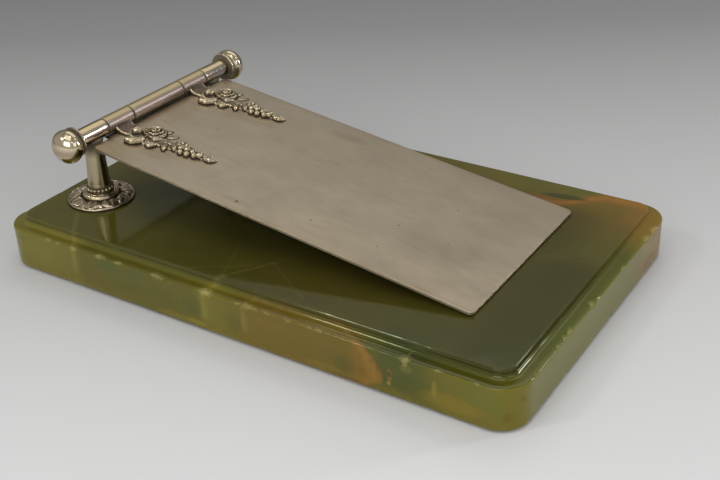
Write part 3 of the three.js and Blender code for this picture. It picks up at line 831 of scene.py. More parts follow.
M_ONYX, M_BAIZE, M_STEEL = mat_onyx(), mat_baize(), mat_steel()
M_TUBE = mat_silver("tube_silver", axis="Y", rough=0.19, tone=(180, 170, 156), tarnish=0.25, shade=tube_reflection_paint, film=0.03)
M_DULL = mat_silver("dull_tube_silver", axis="Y", rough=0.37, tone=(158, 148, 136), tarnish=0.25, shade=tube_reflection_paint, film=0.03)
M_POST = mat_silver("post_silver", axis="Z", rough=0.2, tone=(192, 178, 148), tarnish=0.4, shade=post_shade)
M_BALL = mat_silver("ball_silver", rough=0.15, tone=(226, 212, 184), tarnish=0.4, shade=ball_reflection_paint, film=0.05)
M_PLATE, M_CAST = mat_plate(), mat_cast()

slab = onyx()
dress(slab, M_ONYX)
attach(slab, "base")
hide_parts("onyx_base")


# ================================================================== baize
def baize():
    nz = Noise(8)
    rings = []
    hx, hy, r = L / 2 - 2.5, W / 2 - 2.5, 7.5
    prof = [(6, 0.0), (0.25, 0.0), (0.08, 0.1), (0.0, 0.3), (0.05, 0.6), (0.2, 0.74), (6, 0.745)]

    def rr(inset, z, step=1.2):
        pts = []
        x1, y1, rc = hx - inset, hy - inset, max(r - inset, 0.5)
        for cx, cy, a0, length, d in ((x1 - rc, -y1 + rc, -90, 2 * (hy - r), (0, 1)), (x1 - rc, y1 - rc, 0, 2 * (hx - r), (-1, 0)),
                                      (-x1 + rc, y1 - rc, 90, 2 * (hy - r), (0, -1)), (-x1 + rc, -y1 + rc, 180, 2 * (hx - r), (1, 0))):
            for k in range(10):
                a = math.radians(a0 + 9 * k)
                pts.append((cx + rc * math.cos(a), cy + rc * math.sin(a), z))
            a = math.radians(a0 + 90)
            sx, sy = cx + rc * math.cos(a), cy + rc * math.sin(a)
            n = int(length / step)
            span = 2 * ((y1 if d[0] == 0 else x1) - rc)
            for k in range(n):
                pts.append((sx + d[0] * span * k / n, sy + d[1] * span * k / n, z))
        return pts
    rings = [np.array(rr(i, z)) for i, z in prof]
    n = len(rings[0])
    P = np.concatenate(rings)
    j = nz(P, 0.8) * 0.12 + nz(P, 2.2) * 0.08                  # the cut edge is a little furry
    edge = ((P[:, 2] > 0.02) & (P[:, 2] < 0.742)).astype(float)
    c = P.copy(); c[:, 2] = 0
    c /= np.linalg.norm(c, axis=1)[:, None]
    P = P + c * (j * edge - 0.1 * edge)[:, None]
    faces = []
    for a in range(len(rings) - 1):
        for k in range(n):
            k2 = (k + 1) % n
            faces.append((a * n + k, a * n + k2, (a + 1) * n + k2, (a + 1) * n + k))
    faces.append(tuple(range(n))[::-1])
    faces.append(tuple((len(rings) - 1) * n + k for k in range(n)))
    return mesh_object("baize_pad", P, faces)


pad = baize()
dress(pad, M_BAIZE)
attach(pad, "base")
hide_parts("felt_pad")


# ================================================================== turned metal
def barrel(name, y0, y1, body, node, rounding=0.55, bulge=0.0):
    h = (y1 - y0) / 2
    prof = round_profile([(1.6, -h + 0.05), (1.9, -h), (BR, -h), (BR, h), (1.9, h), (1.6, h - 0.05)],
                         [0, 0.05, rounding, rounding, 0.05, 0], 6)
    prof = densify(prof, 0.9)
    prof = [(r + (bulge * (1 - (a / h) ** 2) if r > 3 else 0), a) for r, a in prof]
    nz = Noise(int(abs(y0) * 10) + 5)
    ob = lathe(name, prof, (HX, (y0 + y1) / 2, HZ), "Y", 96)
    bm = bmesh.new(); bm.from_mesh(ob.data)
    co = np.array([v.co[:] for v in bm.verts]) / MM
    d = nz(co, 0.28) * 0.022 + nz(co, 0.9) * 0.008             # faint dents of age
    rad = co - np.array([HX, 0, HZ]); rad[:, 1] = 0
    rr = np.linalg.norm(rad, axis=1)
    for v, c, k, q in zip(bm.verts, rad, d, rr):
        if q > 2.2:
            v.co += Vector(c / q * (k - 0.02) * MM)
    # dark line of old polish in the end chamfers
    lay = bm.verts.layers.float.new("cavity_and_shade")
    for v, q in zip(bm.verts, co):
        e = min(abs(q[1] - y0), abs(q[1] - y1))
        v[lay] = max(0.0, 0.75 - e / 0.55)
    bm.to_mesh(ob.data); bm.free()
    dress(ob, M_TUBE if body == "base" else M_DULL)
    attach(ob, body)
    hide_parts(node)
    return ob


GAP = 0.25
barrel("near_post_eye", -40.5, -27.05, "base", "near_fixed_knuckle")
barrel("far_post_eye", 27.05, 40.5, "base", "far_fixed_knuckle")
barrel("near_plate_barrel", -26.85, -13.85, "plate", "near_moving_knuckle")
barrel("far_plate_barrel", 13.85, 26.85, "plate", "far_moving_knuckle")
barrel("spacer_tube", -13.65, 13.65, "sleeve", "centre_sleeve")


def set_cavity_and_shade(ob, fn):
    me = ob.data
    co = np.array([v.co[:] for v in me.vertices]) / MM
    me.attributes.new("cavity_and_shade", "FLOAT", "POINT").data.foreach_set("value", np.asarray(fn(co), np.float32))


for side, s in (("near", -1), ("far", 1)):
    prof = round_profile([(2.0, 0.02), (5.1, 0.0), (5.4, 0.12), (5.4, 0.88), (5.1, 1.0), (2.0, 0.98)], [0, 0.3, 0.3, 0.3, 0.3, 0], 5)
    c = lathe(f"{side}_collar_disc", densify(prof, 0.5), (HX, s * 40.55, HZ - 0.2), "Y", 112, flip=(s < 0))
    # painted shade: the collar darkened inside its rim on both faces, and all over on its ball side
    set_cavity_and_shade(c, lambda q: np.clip(np.maximum((5.28 - np.hypot(q[:, 0] - HX, q[:, 2] - HZ + 0.2)) / 0.25, (np.abs(q[:, 1]) - 40.95) / 0.2), 0, 0.85))
    dress(c, M_BALL)
    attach(c, "base"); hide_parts(f"{side}_collar")

    ball = [(0, 4.9), (1.6, 4.5), (1.6, 0.02), (3.9, 0.0)]
    neck = [(4.15, 0.12), (4.2, 0.3), (4.1, 0.48)]
    curve = []
    a0 = math.acos((2.95 - 0.5) / 4.6)
    for k in range(0, 31):
        a = a0 + (math.pi - a0) * k / 30
        curve.append((0.0 if k == 30 else 6.05 * math.sin(a), 2.95 - 4.6 * math.cos(a)))
    f = lathe(f"{side}_ball_finial", ball + neck + curve, (HX + 0.2, s * 41.6, HZ - 0.5), "Y", 112, flip=(s < 0))
    set_cavity_and_shade(f, lambda q: np.clip(1.15 - (np.abs(q[:, 1]) - 41.6) / 1.0, 0, 0.95))
    dress(f, M_BALL)
    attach(f, "base"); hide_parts(f"{side}_finial")


# ------------------------------------------------------------------ posts
BEADS, BEAD_Z, BEAD_R = 20, 4.55, 4.72


def bead(a, h, turn):
    """bulge of the beaded ring at angle a and height h: 0 to 1"""
    d = ((a / (2 * math.pi) * BEADS + turn) % 1.0 - 0.5) * 2 * math.pi * BEAD_R / BEADS
    q = (d / 0.70) ** 2 + ((h - BEAD_Z) / 0.66) ** 2
    return math.sqrt(1 - q) if q < 1 else 0.0


def column(side, s):
    pts = [(0, 9.0), (1.9, 8.2), (1.9, 0.02), (3.0, 0.0), (3.0, 3.55), (4.5, 3.55), (4.62, 3.8), (BEAD_R - 0.22, 3.92), (BEAD_R - 0.22, 5.18), (4.5, 5.3), (4.1, 5.42),
           (4.08, 5.9), (4.0, 6.6), (3.86, 8.6), (3.68, 11.5), (3.54, 14.5), (3.42, 17.5), (3.36, 20.0), (3.34, 21.6), (3.3, 23.0), (2.2, 23.9), (0, 24.0)]
    rad = [0, 0, 0.02, 0.02, 0.02, 0.1, 0.1, 0.05, 0.05, 0.1, 0.12, 0.3, 1, 1, 1, 2, 2, 2, 1, 0.6, 0.4, 0.4, 0]
    rad = rad[:len(pts)]
    raw = round_profile(pts, rad, 5)
    prof = []
    for a, b in zip(raw, raw[1:]):
        prof += densify([a, b], 0.09 if 3.85 < min(a[1], b[1]) and max(a[1], b[1]) < 5.25 and a[0] > 4 else 0.7)[:-1]
    prof.append(raw[-1])
    turn = 0.3 if s < 0 else 0.75
    ob = lathe(f"{side}_post", prof, (HX, s * POST_Y, BED), "Z", 240, wobble=lambda a, h: 0.62 * bead(a, h, turn) if 3.85 < h < 5.25 else 0.0)
    me = ob.data
    for v in me.vertices:                                    # solder fillet under the barrel
        x, z = v.co.x / MM - HX, v.co.z / MM - HZ
        y = v.co.y / MM - s * POST_Y
        r = math.hypot(x, y)
        if r > 2.5 and -6.0 < z < -1.0:
            d = math.hypot(x, z) - BR
            k = max(0.0, 1 - abs(d) / 1.5)
            g = 1 + 0.16 * k * k
            v.co.x, v.co.y = (HX + x * g) * MM, (s * POST_Y + y * g) * MM
    def grime_and_top_shade(q):
        r = np.hypot(q[:, 0] - HX, q[:, 1] - s * POST_Y)
        z = q[:, 2] - BED
        between = np.where((z > 3.7) & (z < 5.4) & (r > 4.2), np.clip(1 - (r - BEAD_R + 0.2) / 0.3, 0, 0.95), 0)
        # the beads' gaps and the joint above them are dark; the top of the post, under the barrel and the plate's
        # corner, gets painted shade
        return between + np.clip(0.9 - np.abs(z - 5.5) / 0.35, 0, 0.8) + np.clip((z - 17.0) / 4.5, 0, 0.8)
    set_cavity_and_shade(ob, grime_and_top_shade)
    dress(ob, M_POST)
    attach(ob, "base"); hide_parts(f"{side}_post_column")


def rosette(side, s):
    """cast foot: a lipped rim, a ring of turned-over leaves, a beaded collar"""
    nr, na = 84, 400
    r0, r1 = 3.2, 12.0
    nz = Noise(41 if s < 0 else 42)
    R = np.concatenate([np.linspace(r0, 6.9, 34, endpoint=False), np.linspace(6.9, r1, nr - 34)])
    A = np.arange(na) * 2 * math.pi / na
    rr, aa = np.meshgrid(R, A, indexing="ij")
    base = np.interp(rr, [3.2, 5.15, 5.35, 5.5, 6.0, 6.35, 6.6, 6.95, 7.7, 9.4, 10.9, 11.3, 11.8, 12.0], [3.5, 3.5, 3.35, 3.05, 2.95, 2.65, 1.7, 1.35, 1.5, 1.35, 0.8, 0.8, 0.7, 0.35])
    # leaves: broad lobes with a rib, alternating with small buds
    n = 9
    wander = 0.05 * np.sin(aa * 2 + 1.0 + s) + 0.04 * np.sin(aa * 5 + s)
    ph = (aa * n / (2 * math.pi) + 0.18 + wander) % 1.0 - 0.5
    t = np.clip((rr - 6.8) / 4.5, 0, 1)
    half = 0.44 * np.sqrt(np.clip(np.sin(math.pi * np.clip(t * 0.92 + 0.08, 0, 1)), 0, 1)) + 0.02
    lob = np.clip(1 - (np.abs(ph) / half) ** 2, 0, 1) * (t > 0) * (t < 1)
    rib = np.exp(-(ph / 0.07) ** 2) * lob
    fold = 0.5 + 0.5 * np.cos(np.abs(ph) * 2 * math.pi * 3.2 + t * 5)
    h = base + 0.72 * lob ** 0.55 * (0.86 + 0.14 * fold) - 0.20 * rib
    pb = (aa * n / (2 * math.pi) + 0.68 + wander) % 1.0 - 0.5
    bud = np.exp(-((pb * rr * 2 * math.pi / n) ** 2 + (rr - 10.1) ** 2) / 0.95)
    h += 0.75 * bud
    curl = np.exp(-(((np.abs(ph) - 0.24) * rr * 2 * math.pi / n) ** 2 + (rr - 8.3) ** 2) / 0.7)
    h += 0.35 * curl
    # rim lip, worn in places
    h += 0.42 * np.exp(-((rr - 11.6) / 0.27) ** 2) * (0.82 + 0.10 * np.cos(aa * 44) + 0.18 * np.sin(aa * 3 + 2))
    # rope ring on the step
    ropes = 52
    pr = (aa * ropes / (2 * math.pi) + (rr - 5.75) * 0.5) % 1.0 - 0.5
    h += 0.20 * np.sqrt(np.clip(1 - (pr / 0.46) ** 2, 0, 1) * np.clip(1 - ((rr - 5.75) / 0.33) ** 2, 0, 1))
    h += 0.09 * nz(np.stack([rr.ravel() * np.cos(aa.ravel()), rr.ravel() * np.sin(aa.ravel()), aa.ravel() * 0], 1), 1.1).reshape(h.shape)
    for _ in range(2):                                       # worn soft
        h = (h * 2 + np.roll(h, 1, 1) + np.roll(h, -1, 1) + np.vstack([h[:1], h[:-1]]) + np.vstack([h[1:], h[-1:]])) / 6
    outer = r1 + 0.0 * aa
    top = np.stack([rr * np.cos(aa), rr * np.sin(aa), h], -1)
    rings = [top[i] for i in range(nr)]
    for z in (0.18, 0.02):
        rings.append(np.stack([outer[0] * np.cos(A), outer[0] * np.sin(A), A * 0 + z], -1))
    rings.append(np.stack([(r1 - 0.1) * np.cos(A), (r1 - 0.1) * np.sin(A), A * 0], -1))
    rings.append(np.stack([r0 * np.cos(A), r0 * np.sin(A), A * 0], -1))
    P = np.concatenate(rings)
    faces = []
    m_ = len(rings)
    for i in range(m_):
        j = (i + 1) % m_
        for k in range(na):
            k2 = (k + 1) % na
            faces.append((i * na + k, i * na + k2, j * na + k2, j * na + k))
    # cavity: how far each point lies below its blurred surroundings
    blur = h.copy()
    for _ in range(14):
        blur = (blur + np.roll(blur, 1, 1) + np.roll(blur, -1, 1) + np.vstack([blur[:1], blur[:-1]]) + np.vstack([blur[1:], blur[-1:]])) / 5
    cav = np.clip((blur - h) * 2.2 + 0.10 + 0.5 * np.exp(-((rr - 6.9) / 0.35) ** 2), 0, 1)
    cv = np.concatenate([cav.ravel(), np.full(4 * na, 0.5)])
    P = P + np.array([HX, s * POST_Y, BED])
    me = bpy.data.meshes.new(f"{side}_rosette")
    me.from_pydata((P * MM).tolist(), [], faces)
    me.attributes.new("cavity_and_shade", "FLOAT", "POINT").data.foreach_set("value", cv.astype(np.float32))
    ob = bpy.data.objects.new(f"{side}_rosette", me)
    bpy.context.scene.collection.objects.link(ob)
    bm = bmesh.new(); bm.from_mesh(me); bmesh.ops.recalc_face_normals(bm, faces=bm.faces); bm.to_mesh(me); bm.free()
    me.polygons.foreach_set("use_smooth", [True] * len(me.polygons))
    soft_normals(ob, 60)
    dress(ob, M_CAST)
    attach(ob, "base"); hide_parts(f"{side}_foot_rosette")


for side, s in (("near", -1), ("far", 1)):
    column(side, s)
    rosette(side, s)


# ================================================================== press plate
def plate_frame(u, w, h):
    """a point of the plate's own frame: u down the slope, w across, h off its top face"""
    c, s = math.cos(SLOPE), math.sin(SLOPE)
    return (PX0 + c * u + s * h, w, PZ0 - s * u + c * h)


def plate_outline():
    """points of the sheet's outline with their outward normals, corner by corner"""
    hw = PW / 2
    corners = [(PLEN, -hw, 1.5), (PLEN, hw, 1.5), (-TUCK, hw, 1.2), (-TUCK, TONGUE_HALF, 0.5), (-TONGUE, TONGUE_HALF, 0.6),
               (-TONGUE, -TONGUE_HALF, 0.6), (-TUCK, -TONGUE_HALF, 0.5), (-TUCK, -hw, 1.2)]
    n = len(corners)
    pts, normals = [], []
    for i in range(n):
        a, b, c = (np.array(corners[k % n][:2]) for k in (i - 1, i, i + 1))
        r = corners[i][2]
        e0, e1 = (b - a) / np.linalg.norm(b - a), (c - b) / np.linalg.norm(c - b)
        turn = e0[0] * e1[1] - e0[1] * e1[0]
        n0, n1 = np.array([e0[1], -e0[0]]), np.array([e1[1], -e1[0]])
        centre = b - e0 * r - n0 * r * turn
        steps = 9 if turn > 0 else 5
        for k in range(steps + 1):
            t = k / steps
            m_ = n0 * math.cos(t * math.pi / 2) + n1 * math.sin(t * math.pi / 2)
            pts.append(centre + m_ * r * turn)
            normals.append(m_)
        start, end = b + e1 * r, c - e1 * corners[(i + 1) % n][2]
        m = max(1, int(np.linalg.norm(end - start)))
        for k in range(1, m):
            pts.append(start + (end - start) * k / m)
            normals.append(n1)
    return np.array(pts), np.array(normals)


def press_plate():
    # (inset, height off the top face): under side, lower edge, seam, upper edge, top
    prof = [(0.5, -PT), (0.22, -PT + 0.02), (0.06, -PT + 0.1), (0.0, -PT + 0.24), (0.0, -0.66), (0.03, -0.62), (0.10, -0.585), (0.10, -0.535), (0.03, -0.50),
            (0.0, -0.46), (0.0, -0.2), (0.04, -0.09), (0.14, -0.02), (0.3, 0.0), (0.5, 0.0)]
    P0, N0 = plate_outline()
    n = len(P0)
    bm = bmesh.new()
    bv = []
    for inset, z in prof:
        q = P0 - N0 * inset
        bv.append([bm.verts.new((a, b, z)) for a, b in q])
    for r0, r1 in zip(bv, bv[1:]):
        for k in range(n):
            bm.faces.new([r0[k], r0[(k + 1) % n], r1[(k + 1) % n], r1[k]])
    bm.faces.new(bv[0][::-1])
    bm.faces.new(bv[-1])
    # cut the two big faces into strips, so that the sheet can carry its slight waves
    for axis, lo, hi in ((0, 0.0, PLEN - 1), (1, -36.0, 36.5)):
        q = lo
        while q <= hi:
            co = Vector((q, 0, 0)) if axis == 0 else Vector((0, q, 0))
            no = Vector((1, 0, 0)) if axis == 0 else Vector((0, 1, 0))
            bmesh.ops.bisect_plane(bm, geom=bm.verts[:] + bm.edges[:] + bm.faces[:], plane_co=co, plane_no=no)
            q += 4.0
    bmesh.ops.recalc_face_normals(bm, faces=bm.faces)
    nz = Noise(77)
    P = np.array([v.co[:] for v in bm.verts])
    wave = nz(P * np.array([1, 1, 0]), 0.03) * 0.05 + nz(P * np.array([1, 1, 0]), 0.012) * 0.06
    wave = np.where(P[:, 0] > PLEN - 6, wave * 0.4, wave)
    lay = bm.verts.layers.float.new("cavity_and_shade")
    for v, k, p in zip(bm.verts, wave, P):
        u, w, h = p[0], p[1], p[2] + min(0.0, k - 0.06) * 0.6
        tongue = u < -2.4 and abs(w) < TONGUE_HALF + 0.4
        if tongue:
            u -= 1.72 * min(1.0, max(0.0, -p[2] - 0.02) / 0.98) * min(1.0, (-2.4 - u) / 0.7)
        # the seam line is dark; the tongue's edge and underside, tucked under the barrels, get painted shade
        v[lay] = 0.95 if -0.6 < p[2] < -0.52 or (tongue and p[2] < -0.06) else 0.0
        v.co = Vector(plate_frame(u, w, h)) * MM
    me = bpy.data.meshes.new("plate_sheet")
    bm.to_mesh(me); bm.free()
    ob = bpy.data.objects.new("plate_sheet", me)
    bpy.context.scene.collection.objects.link(ob)
    me.polygons.foreach_set("use_smooth", [True] * len(me.polygons))
    soft_normals(ob, 50)
    dress(ob, M_PLATE)
    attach(ob, "plate"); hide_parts("press_plate")


press_plate()

# ================================================================== cast flower mounts
def casting():
    """one relief casting in its own frame (u along the plate, w across, h up), as a fine height field"""
    step = 0.085
    us = np.arange(-3.5, 37.6, step)
    ws = np.arange(-7.6, 11.2, step)
    U, Wd = np.meshgrid(us, ws, indexing="ij")
    NO = -0.5
    nz = Noise(21)
    g = np.stack([U.ravel(), Wd.ravel(), U.ravel() * 0], 1)
    n1 = nz(g, 0.55).reshape(U.shape)
    n2 = nz(g + 9, 1.8).reshape(U.shape)
    # hand modelled outlines: warp the drawing a little
    Uw, Ww = U + 0.20 * n1, Wd + 0.20 * nz(g + 31, 0.6).reshape(U.shape)

    def local(u0, w0, deg):
        a = math.radians(deg)
        du, dw = Uw - u0, Ww - w0
        return du * math.cos(a) + dw * math.sin(a), -du * math.sin(a) + dw * math.cos(a)

    def dome(u0, w0, ru, rw, top, deg=0.0, base=0.0, power=0.5):
        a, b = local(u0, w0, deg)
        q = (a / ru) ** 2 + (b / rw) ** 2
        return np.where(q < 1, base + (top - base) * np.clip(1 - q, 0, 1) ** power, NO)

    def leaf(u0, w0, deg, length, half, top, veins=5, fold=0.35, tipdrop=0.3, base=0.25):
        """a leaf from its stalk at (u0, w0): pointed tip, sunk midrib, raised side veins, scalloped edge"""
        a, b = local(u0, w0, deg)
        t = a / length
        tc = np.clip(t, 0, 1)
        hw = half * np.sin(math.pi * tc ** 0.82) ** 0.75 * (1 + 0.10 * np.abs(np.sin(tc * math.pi * veins)))
        inside = (t > 0) & (t < 1) & (np.abs(b) < hw)
        e = np.clip(1 - (np.abs(b) / np.maximum(hw, 1e-3)) ** 3, 0, 1)
        rise = np.sin(math.pi * np.clip(tc * 0.9 + 0.08, 0, 1)) ** 0.6
        h = base + (top - base) * rise * e ** 0.6 * (1 - fold * np.exp(-(b / (0.22 * half + 0.1)) ** 2))
        h = h + 0.07 * np.cos((a - np.abs(b) * 0.9) * 2 * math.pi / (length / (veins + 0.5))) * e * (np.abs(b) > 0.12)
        h = h + 0.10 * np.exp(-(b / 0.10) ** 2) * e - tipdrop * tc ** 3 * (top - base)
        return np.where(inside, h, NO)

    def spoon(u0, w0, deg, length, half, top, hollow, at=-0.35, point=0.25):
        """a turned-up leaf or husk: a rounded outline, a soft rim and a thumbed hollow towards its stalk"""
        a, b = local(u0, w0, deg)
        t = a / length
        hw = half * np.sqrt(np.clip(1 - t * t, 0, 1)) * (1 - point * t)
        q2 = np.clip(1 - t * t, 0, 1) * np.clip(1 - (b / np.maximum(hw, 1e-3)) ** 2, 0, 1)
        dip = np.exp(-((t - at) / 0.46) ** 2 - (b / (half * 0.52)) ** 2)
        h = top * q2 ** 0.32 * (1 + 0.12 * t) - hollow * dip
        return np.where((np.abs(t) < 1) & (np.abs(b) < hw), h, NO)

    def petals(u0, w0, R, H, layers):
        """broad cupped petals laid over each other; (angle, spread, inner, outer, low, rim) for each"""
        a, b = local(u0, w0, 0)
        r, th = np.hypot(a, b) / R, np.degrees(np.arctan2(b, a))
        out = np.full(U.shape, NO)
        for c, al, ri, ro, low, rim in layers:
            x = ((th - c + 180) % 360 - 180) / al
            edge = ro * (1 - 0.30 * np.abs(x) ** 2.6 - 0.05 * np.exp(-(x / 0.2) ** 2) + 0.03 * np.sin(x * 5 + c))
            s = np.clip((r - ri) / np.maximum(edge - ri, 1e-3), -0.3, 1.2)
            sc = np.clip(s, 0, 1)
            rise = low + (rim * (1 - 0.12 * x * x + 0.06 * x) - low) * sc ** 1.5
            roll = np.sqrt(np.clip(1 - (np.clip(s - 0.72, 0, None) / 0.28) ** 2, 0, 1))
            h = H * (rise * (0.35 + 0.65 * roll)) if ro < 0.9 else H * rise * roll + (1 - roll) * NO
            out = np.where((np.abs(x) < 1) & (s < 1) & (s > -0.3), np.maximum(out, h), out)
        return out, r, th

    def ridge(path, radius, top, base=0.0, power=0.5):
        """a rounded bead along a path; radius and top are lists, one value per point"""
        out = np.full(U.shape, NO)
        for (p, q, r0, r1, t0, t1) in zip(path, path[1:], radius, radius[1:], top, top[1:]):
            vx, vy = q[0] - p[0], q[1] - p[1]
            l2 = vx * vx + vy * vy
            t = np.clip(((Uw - p[0]) * vx + (Ww - p[1]) * vy) / l2, 0, 1)
            d = np.hypot(Uw - p[0] - t * vx, Ww - p[1] - t * vy)
            r = r0 + (r1 - r0) * t
            h = base + (t0 + (t1 - t0) * t - base) * np.clip(1 - (d / r) ** 2, 0, 1) ** power
            out = np.maximum(out, np.where(d < r, h, NO))
        return out

    H = np.full(U.shape, NO)

    def put(h):
        nonlocal H
        H = np.maximum(H, h)

    # strap: a short tongue from the barrel down to the plate, sunk between two soft rims
    left = np.interp(U, [-3.5, -1.5, 0.5, 2.2, 3.6], [-3.6, -3.5, -3.2, -2.9, -2.2])
    rightw = np.interp(U, [-3.5, -1.5, 0.5, 2.2, 3.6], [4.4, 4.4, 4.2, 4.0, 3.6])
    mid, hw = (left + rightw) / 2, (rightw - left) / 2
    x = (Wd - mid) / hw
    fall = np.interp(U, [-3.5, -3.0, -2.2, -1.2, 0.0, 1.5, 3.6], [2.4, 1.9, 1.25, 0.85, 0.62, 0.60, 0.6])
    strap = fall + 0.42 * np.exp(-((np.abs(x) - 0.86) * hw / 0.5) ** 2)
    strap = np.where((np.abs(x) < 1) & (U < 3.6), strap * np.sqrt(np.clip(1 - np.clip((np.abs(x) - 0.86) / 0.14, 0, 1) ** 2, 0, 1)), NO)
    put(strap)

    # backing that ties the spray together
    put(ridge([(3, 0.2), (8, 1.6), (12, 1.6), (17, 1.3), (21, 1.6), (25, 1.5), (29, 1.8), (33.5, 2.4)],
              [3.2, 3.9, 3.7, 2.6, 2.2, 1.9, 1.5, 1.0], [0.6, 0.7, 0.7, 0.7, 0.7, 0.65, 0.6, 0.5], power=0.35))

    # low leaves that lie almost flush behind the flowers
    put(leaf(9.6, 7.0, 48, 4.2, 1.5, 0.72, fold=0.3, base=0.05))
    put(leaf(12.6, 5.2, 40, 5.2, 1.5, 0.70, fold=0.3, base=0.05))
    put(leaf(17.4, 4.0, 38, 4.2, 1.2, 0.70, fold=0.3, base=0.05, veins=4))
    put(leaf(3.4, 4.0, 66, 3.4, 1.5, 1.0, fold=0.3, base=0.1, veins=4))
    put(leaf(23.6, 3.2, 36, 3.2, 1.0, 0.85, fold=0.3, base=0.1, veins=3))
    # a leaf under the bud's near side, and one between the roses
    put(leaf(8.4, -1.6, -52, 3.4, 1.3, 1.1, fold=0.45, veins=4))
    put(leaf(13.2, 0.2, -28, 3.2, 1.1, 1.1, fold=0.45, veins=4))

    # three turned-up husks along the near side
    put(spoon(12.55, -2.2, -98, 2.85, 1.75, 1.85, 1.25, at=-0.45, point=0.0))
    put(dome(11.9, -3.55, 1.35, 1.2, 2.0, power=0.6))
    put(spoon(16.6, -0.35, -54, 3.3, 1.5, 1.75, 1.2, at=-0.30, point=0.22))
    put(spoon(19.8, 1.2, -50, 2.5, 1.45, 1.75, 1.15, at=-0.35, point=0.1))

    # half open bud by the strap: a folded heart in a deep cup, one big petal turned out on the near side
    cup, r, th = petals(4.2, 0.3, 4.4, 2.5, [(60, 78, 0.50, 1.0, 0.20, 0.62), (150, 62, 0.50, 0.95, 0.20, 0.58), (-8, 50, 0.50, 0.98, 0.18, 0.66), (215, 50, 0.52, 0.92, 0.15, 0.5)])
    put(cup)
    H = np.where((r < 0.62) & (H < 1.4), np.minimum(H, 0.30 + 1.6 * np.clip(r - 0.42, 0, None)), H)
    a, b = local(2.9, 0.9, 35)
    q = (a / 2.0) ** 2 + (b / 1.55) ** 2
    fold = 0.30 * np.exp(-((b - 0.35 - 0.12 * a) / 0.28) ** 2) + 0.22 * np.exp(-((b + 0.65) / 0.22) ** 2)
    put(np.where(q < 1, 2.7 * np.clip(1 - q, 0, 1) ** 0.42 - fold, NO))
    put(ridge([(3.3, -5.2), (4.6, -5.9), (6.2, -5.6), (7.7, -4.1), (8.3, -2.2), (7.7, -0.6)], [0.75, 1.25, 1.45, 1.35, 1.05, 0.55], [1.5, 2.15, 2.3, 2.1, 1.9, 1.4], power=0.5))
    H = np.where(ridge([(4.2, -4.3), (5.8, -4.1), (6.9, -2.9)], [0.5, 0.8, 0.5], [1, 1, 1]) > 0, H - 0.55, H)

    # the open rose: broad petals round a rolled heart
    layers = [(8, 46, 0.55, 0.99, 0.30, 0.62), (78, 48, 0.55, 1.02, 0.28, 0.60), (150, 46, 0.55, 0.97, 0.28, 0.60), (222, 48, 0.55, 1.0, 0.30, 0.60), (296, 46, 0.55, 1.04, 0.30, 0.64),
              (40, 62, 0.34, 0.74, 0.42, 0.84), (158, 64, 0.34, 0.70, 0.42, 0.80), (278, 66, 0.34, 0.75, 0.42, 0.84),
              (100, 84, 0.12, 0.45, 0.60, 1.0), (240, 86, 0.12, 0.42, 0.60, 0.96)]
    rose, r, th = petals(8.9, 4.0, 4.45, 3.55, layers)
    put(rose)
    heart = 3.55 * (0.86 - 0.5 * (r / 0.2) ** 2) + 0.35 * np.cos(np.radians(th) + r / 0.2 * 5.0) * np.clip(r / 0.2, 0, 1)
    put(np.where(r < 0.22, heart, NO))
    # one petal folded down over the near side
    put(ridge([(9.6, 0.5), (11.4, 0.5), (13.0, 1.9)], [0.8, 1.25, 0.8], [1.5, 1.9, 1.5], power=0.5))

    # small open blossom with a button
    for k in range(5):
        a0 = math.radians(72 * k + 20)
        aa, bb = local(20.9 + 1.45 * math.cos(a0), 4.3 + 1.3 * math.sin(a0), 72 * k + 20)
        q = (aa / 1.2) ** 2 + (bb / 0.95) ** 2
        put(np.where(q < 1, 1.55 * np.sqrt(np.clip(1 - q, 0, 1)) - 0.3 * np.exp(-(bb / 0.22) ** 2) + 0.08 * aa, NO))
    put(dome(20.9, 4.3, 0.7, 0.7, 1.95, base=0.8))

    # stalks and berries
    put(ridge([(16, 1.2), (20, 1.6), (24, 1.7), (28, 1.8), (33, 2.2)], [0.5, 0.45, 0.4, 0.4, 0.35], [1.3, 1.25, 1.1, 1.0, 0.9]))
    for u0, w0, r, hc in ((22.6, 1.5, 1.0, 0.95), (23.8, -0.5, 1.05, 0.75), (24.9, 1.7, 1.15, 1.25), (24.6, 3.3, 0.95, 0.85), (26.2, 0.0, 1.15, 0.75),
                          (27.0, 2.1, 1.05, 0.95), (27.2, 3.7, 0.8, 0.6), (28.9, 0.8, 1.1, 0.85), (30.4, 1.9, 1.15, 0.85), (29.9, 3.5, 0.85, 0.65),
                          (32.3, 2.6, 0.85, 0.6)):
        a, b = local(u0, w0, 0)
        d = np.hypot(a, b)
        put(np.where(d < r, hc + np.sqrt(np.clip(r * r - d * d, 0, None)) - 0.08 * np.exp(-((a + 0.1) ** 2 + (b + 0.1) ** 2) / 0.03), NO))
    # end bud: two closed petals and a tip
    put(ridge([(33.2, 1.5), (34.8, 1.9), (36.4, 2.9)], [0.8, 1.0, 0.4], [1.3, 1.65, 0.9], power=0.5))
    put(ridge([(33.4, 3.2), (34.8, 3.5), (36.7, 3.6)], [0.6, 0.85, 0.3], [1.1, 1.4, 0.7], power=0.5))

    solidm = H > NO + 0.01
    H = np.where(solidm, H + 0.05 * n2 + 0.05 * n1, H)

    # soften the drawing to a worn casting
    def blur(a, n):
        for _ in range(n):
            p = np.pad(a, 1, mode="edge")
            a = (p[1:-1, 1:-1] * 2 + p[:-2, 1:-1] + p[2:, 1:-1] + p[1:-1, :-2] + p[1:-1, 2:]) / 6
        return a
    soft = blur(np.maximum(H, -0.3), 5)
    H = np.where(solidm, soft, np.maximum(NO, np.minimum(soft, -0.05)))
    ref = blur(np.maximum(H, 0.0), 26)
    ref2 = blur(np.maximum(H, 0.0), 7)
    cav = np.clip((ref - H) * 0.75 + (ref2 - H) * 2.4 + 0.20, 0, 1)
    # low parts next to the plate darken: grime, and painted shade at the foot of the relief
    cav = np.maximum(cav, np.clip(0.55 - H * 1.1, 0, 0.55))
